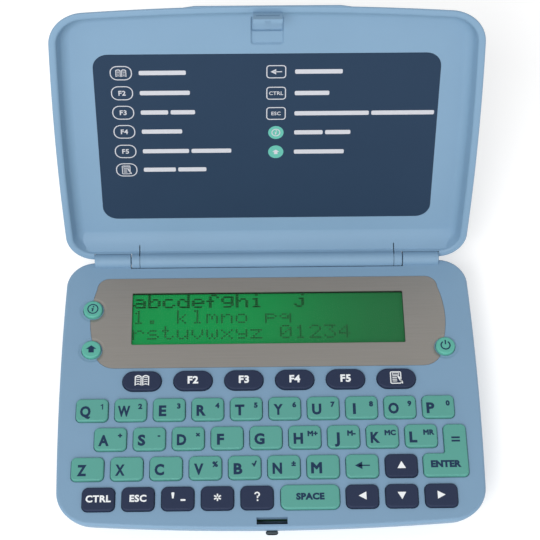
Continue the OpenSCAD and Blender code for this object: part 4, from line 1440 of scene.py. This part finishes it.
    def marks(self, key: Key) -> list[Solid]:
        """Printed marks of one key, in place.

        Args:
            key: The key.

        Returns:
            The marks.
        """
        if key.label:
            found = self.lettered(key)
        elif key.name == "key_enter":
            found = [(lettering("ENTER", 2.3, 0.065, 1.06), -6.75, -4.6),
                     (levelled(lettering("=", 3.6, 0.02)), -3.3, 3.4)]
        elif key.name == "key_apostrophe":
            tick = [(-0.22, -0.95), (0.22, -0.95), (0.45, 0.75), (0.3, 0.95), (-0.3, 0.95),
                    (-0.45, 0.75)]
            found = [(inked("tick", [tick]), -1.45, 0.8),
                     (inked("hyphen", [rectangle(1.44, 0.56)]), 1.55, -0.7)]
        elif key.name in ARROWS:
            found = [(inked("arrow", [triangle(2.3, ARROWS[key.name])]), 0, 0)]
        else:
            make, size = PICTURES[key.name]
            found = [(make(size), 0, 0)]
        ink = Finish.PALE_INK if key.dark else Finish.DARK_INK
        return [placed(dress(mark, ink), key.x + x, key.y + y, self.top - 0.01) for mark, x, y in found]

    def build(self) -> None:
        """Build every key with its print, each on its own body."""
        for key in self.keys:
            cap = smoothed(self.cap(key))
            piece = joined(key.name + "_cap_printed", [cap, *self.marks(key)])
            piece.data.shade_smooth()
            piece.data.set_sharp_from_angle(angle=math.radians(CAP_SHARP_DEG))
            settle(piece, key.name, "key_navy" if key.dark else "key_teal", key.name)


# Dots of each character, from the top row down: one base-32 digit holds a row of five
GLYPHS = {
    "a": "00E1FHF", "b": "GGMPHHU", "c": "00EGGHE", "d": "11DJHHF", "e": "00EHVGE", "f": "698S888",
    "g": "0FHHF1E", "h": "GGMPHHH", "i": "40C444E", "j": "20622IC", "k": "GGIKOKI", "l": "C44444E",
    "m": "00QLLHH", "n": "00MPHHH", "o": "00EHHHE", "p": "00UHUGG", "q": "00DJF11", "r": "00MPGGG",
    "s": "00EGE1U", "t": "88S8896", "u": "00HHHJD", "v": "00HHHA4", "w": "00HHLLA", "x": "00HA4AH",
    "y": "00HHF1E", "z": "00V248V", "0": "EHJLPHE", "1": "4C4444E", "2": "EH1248V", "3": "V2421HE",
    "4": "26AIV22", ".": "00000CC", " ": "0000000",
}


@dataclass
class Display:
    """Plate, window and panel, with a test line of dot characters."""

    plate_z: float = 16.1
    pane_z: float = 15.3
    panel_top: float = 14.65
    glass_top: float = 15.24
    plate_half: float = 53.9
    plate_y: Point2 = (7.25, 39.15)
    plate_r: Point2 = (6.0, 3.8)
    plate_bow: float = 1.8
    bite_r: float = 3.4
    bite_z: Point2 = (10, 20)
    bites: tuple[Point2, ...] = ((-55, 27.85), (-55, 13.65), (55, 13.65))
    window: Point2 = (85.5, 18.6)
    centre: Point2 = (0.0, 24.65)
    pane_lap: float = 1.4
    seat_gap: float = 0.1
    dot: Point2 = (0.77, 0.7)
    lines: tuple[tuple[str, bool], ...] = (
        ("abcdefghi  j", True), ("1. klmno pq", False), ("rstuvwxyz 01234", False))

    def plate_outline(self, grow: float) -> list[Point2]:
        """Plate with bowed ends, grown a little for its seat."""
        x, low, top = self.plate_half + grow, self.plate_y[0] - grow, self.plate_y[1] + grow
        low_r, top_r = (r + grow for r in self.plate_r)
        middle, reach = (top - top_r + low + low_r) / 2, (top - top_r - low - low_r) / 2
        half = arc(top_r, (x - top_r, top - top_r), math.pi / 2, 0, 6)
        half += [(x + self.plate_bow * (1 - t * t), middle + t * reach)
                 for t in (0.75, 0.5, 0.25, 0, -0.25, -0.5, -0.75)]
        half += arc(low_r, (x - low_r, low + low_r), 0, -math.pi / 2, 6)
        return (half + [(-px, py) for px, py in half[::-1]])[::-1]

    def cutters(self, deck_top: float, deck_z: float) -> list[Solid]:
        """Cutters for the plate's seat, the pane's seat and the opening.

        Args:
            deck_top: Height of the deck's top.
            deck_z: Height of its underside.

        Returns:
            The cutters.
        """
        gap = self.seat_gap
        plate = prism("plate_seat", self.plate_outline(gap), self.plate_z - 0.01, deck_top + 1)
        bites = [prism("bite", disc(self.bite_r - gap, spot, 64), *self.bite_z) for spot in self.bites]
        combined(plate, [joined("bites", bites)], "DIFFERENCE")
        width, depth = self.window
        lap = 2 * (self.pane_lap + gap)
        return [plate,
                prism("pane_seat", rounded(rectangle(width + lap, depth + lap, self.centre), 1.1),
                      self.pane_z, deck_top + 1),
                prism("opening", rounded(rectangle(width, depth, self.centre), 0.5),
                      deck_z - 1, deck_top + 1)]

    def dots(self) -> Solid:
        """Darkened dots of the three lines of characters."""
        margin_x, margin_y, columns, cell_w, cell_h = 0.5, 0.45, 5, 6, 8
        left = self.centre[0] - self.window[0] / 2 + margin_x
        top = self.centre[1] + self.window[1] / 2 - margin_y
        spots: set[Point2] = set()
        for row, (text, bold) in enumerate(self.lines):
            for i, letter in enumerate(text):
                for y, digit in enumerate(GLYPHS[letter]):
                    lit = [x for x in range(columns) if int(digit, 32) >> (columns - 1 - x) & 1]
                    spots.update((left + (cell_w * i + x + step) * self.dot[0],
                                  top - (cell_h * row + y) * self.dot[1])
                                 for x in lit for step in ((0, 0.5) if bold else (0,)))
        made = scattered("crystal_dots", [(x, y, self.glass_top + 0.01) for x, y in sorted(spots)],
                         block_shape, {"Width": 0.62, "Depth": 0.55, "Height": 0.02}, Finish.DOT_INK)
        return settle(made, "base", "lcd_glass")

    def shade_window_walls(self, shell: Solid) -> None:
        """Paint the walls of the window's opening near-black, as painted shade for the shadow line along
        its edge.

        Args:
            shell: The deck's shell, which already has its own finish.
        """
        shell.data.materials.append(material_of(Finish.WINDOW_SHADE))
        width, depth = (v / 2 + self.pane_lap + 0.2 for v in self.window)
        # Painted shade: faces of the opening's walls below the plate take the near-black finish
        for face in shell.data.polygons:
            x, y, z = face.center / MM
            if abs(x) < width and abs(y - self.centre[1]) < depth and z < self.plate_z - 0.05:
                face.material_index = 1

    def glass(self) -> Solid:
        """Front glass of the panel, which stands up into the opening."""
        width, depth = (v - 0.1 for v in self.window)
        pane = prism("crystal_glass", rounded(rectangle(width, depth, self.centre), 0.45),
                     self.panel_top - 0.05, self.glass_top)
        return settle(dress(smoothed(pane), Finish.CRYSTAL), "base", "lcd_glass")

    def build(self) -> None:
        """Dress the CAD pieces of the display and add its front glass and its dots."""
        self.glass()
        self.dots()
        for node, finish in (("display_bezel", Finish.PLATE), ("display_window", Finish.PANE),
                             ("lcd_panel", Finish.CRYSTAL)):
            dress(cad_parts[node], finish)


@dataclass
class Latch:
    """Slot in the deck, the button's room and hole, and the release button."""

    hook_half: float = 4.2
    slot_gap: float = 0.35
    slot_y: Point2 = (-44.55, -42.3)
    room_y: Point2 = (-43.6, -41.8)
    room_low: float = 9.01
    tip_z: float = 12.2
    button_z: float = 11.7
    button: Point2 = (3.7, 1.8)
    nose_z: Point2 = (10.8, 12.6)
    nose_tip_y: float = -45.88
    wall_gap: float = 0.3
    arm_x: float = 12.0

    def cutters(self, case: BaseCase) -> list[Solid]:
        """Cutters for the hook's slot, the button's room and its hole.

        Args:
            case: The case, for its heights.

        Returns:
            The cutters.
        """
        slot_x, arm = self.hook_half + self.slot_gap, self.arm_x + self.wall_gap
        width, height = (v + 2 * self.wall_gap for v in self.button)
        plan = rounded(rectangle(width, height, (0, self.button_z)), 0.9, steps=5)
        hole = skinned("button_hole", [upright(plan, y) for y in (self.room_y[0] + 0.05,
                                                                  self.slot_y[0] - 7)])
        return [box("slot", even(slot_x), self.slot_y, (self.tip_z - 0.25, case.height + 1)),
                box("room", even(arm), self.room_y, (self.room_low, self.tip_z)), hole]

    def nose(self, grow: float, y: float) -> Ring:
        """Outline of the button's nose at a depth, grown a little."""
        width, low, high = self.button[0] + 2 * grow, self.nose_z[0] - grow, self.nose_z[1] + grow
        return upright(rounded(rectangle(width, high - low, (0, (low + high) / 2)), 0.75, steps=6), y)

    def release(self) -> Solid:
        """Release button: a round nose, its flange behind the wall and two spring arms."""
        tip, back, edge_r = self.nose_tip_y, self.slot_y[0] - 0.56, 0.5
        nose = skinned("release_button_nose", [
            *[self.nose(-edge_r * (1 - math.sin(a)), tip + edge_r * (1 - math.cos(a)))
              for a in quarter(5)], self.nose(0.0, back)])
        front, rear = self.room_y[0] + 0.2, self.room_y[0] + 0.8
        combined(nose, [
            box("neck", even(1.6), (back - 0.3, front + 0.1), (10.9, 12.3)),
            box("flange", even(7), (front, rear), (10.3, 11.8)),
            *mirrored(lambda s: box("arm", span(s, 6, self.arm_x), (front + 0.1, rear),
                                    (10.6, 11.5)))], "UNION")
        return settle(dress(smoothed(nose), Finish.BUTTON), "release_button", "button_plastic",
                      "release_button")

    def build(self) -> None:
        """Build the release button."""
        self.release()


@dataclass
class Lid:
    """Lid shell and legend card, in the lid's own frame until they are placed."""

    case: BaseCase
    height: float = 6.5
    tuck: float = 8.0
    slant: float = 0.4
    hollow: float = 4.6
    fillet: float = 2.0
    edge_r: float = 0.5
    rim_w: float = 2.0
    opening_deg: float = 69.0
    card: Point2 = (103.3, 59.9)
    card_inset: float = 13.4
    card_r: float = 4.5
    seat_gap: float = 0.1
    ramp_half: float = 61.0
    ear_play: float = 0.1
    slit_inset: float = 2.7
    slit_w: float = 0.3
    pocket_setback: float = 5.4
    pockets: tuple[Point2, ...] = ((9.7, 0.5), (5.7, 1.1))
    hook_half: float = 4.2
    hook_t: float = 1.35
    hook_len: float = 4.0
    hook_setback: float = 1.75

    @property
    def rim_n(self) -> float:
        """Height of the rim in the lid's frame."""
        return -self.case.gap / 2

    @property
    def floor_n(self) -> float:
        """Height of the hollow's floor in the lid's frame."""
        return self.rim_n - self.hollow

    def pose(self) -> Matrix:
        """Turn and shift from the lid's frame to the open lid, in metres."""
        place = Vector((0, self.case.hinge_y, self.case.axis_z)) * MM
        return Matrix.Translation(place) @ Matrix.Rotation(math.radians(self.opening_deg), 4, "X")

    def ring(self, inset: float, n: float) -> Ring:
        """One ring of the lid at a height of its own frame."""
        return [(-x, -y, n) for x, y in self.case.outline.whole(inset)]

    def tray(self) -> Solid:
        """Tray with a slanted side, a rounded rim and a filleted hollow."""
        rings = [self.ring(inset, n) for inset, n in self.outer_side() + rolled(self.edge_r, self.rim_n)]
        inner = 0.7
        rings += [self.ring(self.rim_w - inner + inner * (1 + self.slant) * math.sin(a),
                            self.rim_n - inner * (1 - math.cos(a))) for a in quarter(6)]
        for a in quarter(10):
            depth = self.hollow - self.fillet * (1 - math.sin(a))
            rings.append(self.ring(self.rim_w + self.slant * depth + self.fillet * (1 - math.cos(a)),
                                   self.rim_n - depth))
        return skinned("lid", rings)

    def ramp(self) -> Solid:
        """Smooth ramp from the hollow's floor up to the barrel and the near rim."""
        length, steps, tilt = 9.0, 16, math.radians(12)
        y, z = self.case.barrel_r * math.cos(tilt), -self.case.barrel_r * math.sin(tilt)
        curve = [(y + (length - y) * t, self.floor_n - 0.05 + (z - self.floor_n) * (1 - t) ** 2)
                 for t in (i / steps for i in range(steps + 1))]
        low = self.floor_n - 0.5
        profile = [(4.4, low), (2.2, -3.0), (2.2, z), *curve, (length, low)]
        hull = skinned("hull", [self.ring(inset + 0.4, n) for inset, n in self.outer_side()])
        return combined(extruded_x("ramp", profile, even(self.ramp_half)), [hull], "INTERSECT")

    def outer_side(self) -> list[Point2]:
        """Inset and height of each ring of the outer side, from the outer face up."""
        rise = self.height - self.edge_r
        lean = self.slant * rise
        turns = [math.radians(90 - 84 * k / 13) for k in range(14)]
        return [(lean * math.sin(a) + (self.tuck - lean) * (1 - math.cos(a)),
                 self.rim_n - self.edge_r - rise * math.sin(a)) for a in turns]

    def finger_lip(self) -> Solid:
        """Low lip along the middle of the far rim, for a fingertip."""
        half, end, root = 25.0, 4.0, 1.5
        plan = self.case.outline
        reach = plan.width / 2 - plan.front_corner_r

        def edge(x: float) -> float:
            """Place of the far rim at a place along it."""
            return plan.depth - plan.front_bow * (x / reach) ** 2

        xs = [(half - end) * (i / 10 - 1) for i in range(21)]

        def level(n: float, wall: float, out: float) -> Ring:
            """Outline of the lip at one height, from the wall's inset there."""
            side, line = edge(half) - wall - 0.05, edge(half) + out
            ends = [(-half, edge(half) - root, n), (half, edge(half) - root, n), (half, side, n)]
            return ends + [(x, line, n) for x in xs[::-1]] + [(-half, side, n)]

        levels = ((-2.6, 1.19, -1.05), (-2.2, 0.91, -0.6), (-1.7, 0.62, -0.1), (-1.3, 0.4, 0.2),
                  (-0.9, 0.2, 0.4), (-0.5, 0.05, 0.44), (-0.3, 0.1, 0.3))
        return skinned("finger_lip", [level(self.rim_n + n, wall, out) for n, wall, out in levels])

    def hook(self) -> Solid:
        """Latch hook with its groove and its notch."""
        far = self.case.outline.depth - self.hook_setback
        near, tip = far - self.hook_t, self.rim_n + self.hook_len
        half = self.hook_half
        hook = box("hook", even(half), (near, far), (self.rim_n - 2.8, tip))
        return combined(hook, [
            box("groove", even(half - 0.85), (far - 0.5, far + 1), (tip - 2.5, tip - 1.9)),
            box("notch", even(0.75), (near - 1, near + 0.8), (tip - 1, tip + 1))], "DIFFERENCE")

    def pocket(self, near: float, far: float, depth: float) -> Solid:
        """Cutter for a pocket behind the hook, with sloped sides.

        Args:
            near: End towards the hinge.
            far: End towards the rim.
            depth: Depth below the hollow's floor.

        Returns:
            The cutter.
        """
        corners = rectangle(9.8, far - near, (0, (near + far) / 2))
        stops = ((0.5, -depth), (0.35, -0.75 * depth), (0.1, -0.15 * depth), (0.0, 0.0), (0.0, 1.2))
        return skinned("pocket", [raised(rounded(corners, 0.9, inset, 4), self.floor_n + n)
                                  for inset, n in stops])

    def shell(self) -> Solid:
        """Whole lid shell: tray, barrel, ramp, hook, stubs and cuts."""
        case, lid = self.case, self.tray()
        half, radius, centre = case.barrel_half, case.barrel_r, (0.0, 0.0)
        combined(lid, [rod_x("barrel", radius, even(half), centre, 0.15), self.ramp(),
                       self.finger_lip()], "UNION")
        width, depth = self.card
        card = rounded(rectangle(width, depth, (0, self.card_inset + depth / 2)), self.card_r,
                       -self.seat_gap)
        far = case.outline.depth - self.pocket_setback
        ear_x, play = half + case.gap + case.ear_w, self.ear_play
        slit_x = half - self.slit_inset
        cuts = [prism("card_seat", card, self.floor_n - 0.51, self.floor_n + 1),
                *[self.pocket(far - length, far, deep) for length, deep in self.pockets],
                *mirrored(lambda s: rod_x("ear_room", radius - case.ear_step + play,
                                          span(s, half, ear_x + play), centre)),
                *mirrored(lambda s: box("slit", span(s, slit_x, slit_x + self.slit_w / 2),
                                        (-radius - 1, radius), (-radius * 0.3, radius + 1))),
                *mirrored(lambda s: box("slit_end", span(s, slit_x, slit_x + self.slit_w),
                                        (radius - 0.1, radius + 2.4), (-2.6, 1)))]
        combined(lid, cuts, "DIFFERENCE")
        stub_x = half + case.gap + case.stub_len - 0.2
        combined(lid, [self.hook(), *mirrored(lambda s: rod_x(
            "stub", 1.0, span(s, half - 1, stub_x), centre, 0.1, 32))], "UNION")
        moved(lid, self.pose())
        return settle(dress(smoothed(lid), Finish.CASE), "lid", "case_plastic", "lid_shell")

    def legend(self) -> Solid:
        """Printed marks of the card: boxed signs with plain bars beside them."""
        marks: list[Solid] = []

        def add(mark: Solid, x: float, u: float, finish: Finish = Finish.CARD_INK,
                align: Align = Align.CENTRE) -> None:
            """Put a mark on the card, counted from the lid's middle and the hinge."""
            marks.append(placed(dress(mark, finish), x, u - 0.25, self.floor_n, align))

        def sign_box(width: float, height: float, radius: float, line: float = 0.3) -> Solid:
            """Outlined box of a sign."""
            sharp = rectangle(width, height)
            return ring_mark("frame", *[rounded(sharp, radius, inset, 6) for inset in (0, line)])

        x, rows = -43.5, (67.3, 60.3, 53.4, 46.5, 39.3, 32.4)
        lengths = (14.0, 15.0, 16.4, 12.3, 27.2, 19.4)
        for u, length, sign in zip(rows, lengths, ("", "F2", "F3", "F4", "F5", "")):
            add(sign_box(6.6, 4.9, 2.2), x, u)
            if sign:
                add(lettering(sign, 1.7, 0.03, 1.06), x, u)
            add(self.words(length), x + 5.3, u, align=Align.LEFT)
        add(book_mark(3.2), x, rows[0])
        add(notes_mark(3.2), x, rows[-1])
        x, rows = 2.7, (67.4, 59.9, 52.7, 45.8, 38.7)
        for k, (u, length) in enumerate(zip(rows, (14.2, 10.4, 42.4, 17.2, 15.4))):
            add(self.words(length), x + 5.6, u, align=Align.LEFT)
            if k < 3:
                add(sign_box(5.9, 4.5, 1.0), x, u)
            else:
                add(inked("disc", [disc(2.35)]), x, u, Finish.TEAL_INK)
        add(back_arrow(3.4), x, rows[0])
        for sign, u in (("CTRL", rows[1]), ("ESC", rows[2])):
            add(lettering(sign, 1.25, 0.02, 1.05), x, u)
        for mark, u in ((info_mark(2.7), rows[3]), (shift_arrow(2.2), rows[4])):
            add(moved(mark, Matrix.Translation((0, 0, INK_HEIGHT * MM))), x, u)
        print_ = moved(joined("legend_print", marks), self.pose())
        return settle(print_, "lid", "card_plastic")

    def words(self, length: float) -> Solid:
        """Plain bars that stand for a line of small print: one, or two where it is long."""
        height, space, long = 1.5, 0.75, 16
        edge = length * 0.55
        parts = ((0, length),) if length < long else ((0, edge - space), (edge, length))
        return inked("words", [rounded(bar(part, even(height / 2)), 0.4, steps=3) for part in parts])

    def build(self) -> None:
        """Build the lid and dress its card."""
        self.shell()
        self.legend()
        dress(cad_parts["legend_card"], Finish.CARD)


@dataclass
class Inside:
    """Finishes of what lies inside the base."""

    finishes: tuple[tuple[str, Finish], ...] = (
        ("circuit_board", Finish.LAMINATE), ("key_mat", Finish.RUBBER), ("batteries", Finish.CELL))

    def build(self) -> None:
        """Dress the inner CAD pieces."""
        for node, finish in self.finishes:
            dress(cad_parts[node], finish)


@dataclass
class Studio:
    """White studio: floor, soft lamps, pale world and the photograph's camera."""

    camera_mm: Point3 = (-8.68, -223.32, 463.57)
    tilt_deg: Point3 = (30.683, -1.057, -0.566)
    lens_mm: float = 108.43
    floor_size: float = 3.0
    world_strength: float = 0.68
    floor_lift: float = 0.3
    lamps: tuple[tuple[str, Point3, float, float], ...] = (
        ("key_lamp", (-0.35, -0.7, 0.95), 5.7, 0.45), ("front_lamp", (-0.2, -1.0, 0.4), 3.6, 0.9))

    def camera(self) -> None:
        """Make the camera where the photograph was taken from."""
        data = bpy.data.cameras.new("camera")
        data.lens, data.sensor_width = self.lens_mm, 36.0
        data.clip_start, data.clip_end = 0.01, 20.0
        camera = linked("camera", data)
        x, y, z = (Matrix.Rotation(math.radians(a), 4, axis) for a, axis in zip(self.tilt_deg, "XYZ"))
        camera.matrix_world = Matrix.Translation(Vector(self.camera_mm) * MM) @ x @ y @ z
        bpy.context.scene.camera = camera

    def lamp(self, name: str, place: Point3, power: float, size: float) -> None:
        """Add a soft square lamp that faces the object.

        Args:
            name: The lamp's name.
            place: Where it hangs, in metres.
            power: Its power in watts.
            size: Its side in metres.
        """
        data = bpy.data.lights.new(name, "AREA")
        data.energy, data.size = power, size
        lamp = linked(name, data)
        lamp.location = place
        lamp.rotation_euler = (-Vector(place)).to_track_quat("-Z", "Y").to_euler()

    def world(self) -> None:
        """White to the camera and in gloss, a plain grey light to the rest."""
        world = bpy.data.worlds.new("studio")
        bpy.context.scene.world = world
        world.use_nodes = True
        tree = world.node_tree
        tree.nodes.clear()
        seen = self.seen_rays(tree)
        strength = add_node(tree, "ShaderNodeMapRange", None, {
            "Value": seen, "To Min": self.world_strength, "To Max": 1.0})
        light = add_node(tree, "ShaderNodeBackground", None, {
            "Color": (1, 1, 1, 1), "Strength": strength.outputs["Result"]})
        add_node(tree, "ShaderNodeOutputWorld", None, {"Surface": light.outputs["Background"]})

    def seen_rays(self, tree: Tree) -> Socket:
        """One where a ray comes from the camera, a gloss or through glass."""
        rays = add_node(tree, "ShaderNodeLightPath").outputs
        seen = rays["Is Camera Ray"]
        for other in ("Is Glossy Ray", "Is Transmission Ray"):
            seen = add_node(tree, "ShaderNodeMath", {"operation": "MAXIMUM"}, {
                0: seen, 1: rays[other]}).outputs[0]
        return seen

    def floor(self) -> None:
        """Pale floor that is lifted to white for the camera, and keeps the shadow."""
        bpy.ops.mesh.primitive_plane_add(size=self.floor_size)
        floor = bpy.context.object
        floor.name = "floor"
        material, tree = new_material("painted_board_white")
        matt = add_node(tree, "ShaderNodeBsdfDiffuse", None, {"Color": (0.86, 0.86, 0.86, 1)})
        lift = add_node(tree, "ShaderNodeMath", {"operation": "MULTIPLY"}, {
            0: self.seen_rays(tree), 1: self.floor_lift})
        glow = add_node(tree, "ShaderNodeEmission", None, {"Strength": lift.outputs[0]})
        both = add_node(tree, "ShaderNodeAddShader", None, {0: matt.outputs[0], 1: glow.outputs[0]})
        add_node(tree, "ShaderNodeOutputMaterial", None, {"Surface": both.outputs[0]})
        floor.data.materials.append(material)

    def build(self) -> None:
        """Set the whole studio up."""
        bpy.context.scene.view_settings.view_transform = "Standard"
        self.camera()
        self.world()
        self.floor()
        for lamp in self.lamps:
            self.lamp(*lamp)


def main() -> None:
    """Build the studio and every sub-assembly in order."""
    logging.basicConfig(level=logging.INFO, format="%(message)s")
    Studio().build()
    keyboard, display, latch, case = Keyboard(), Display(), Latch(), BaseCase()
    case.build(keyboard, display, latch)
    keyboard.build()
    display.build()
    latch.build()
    Lid(case).build()
    Inside().build()


if __name__ == "__main__":
    main()
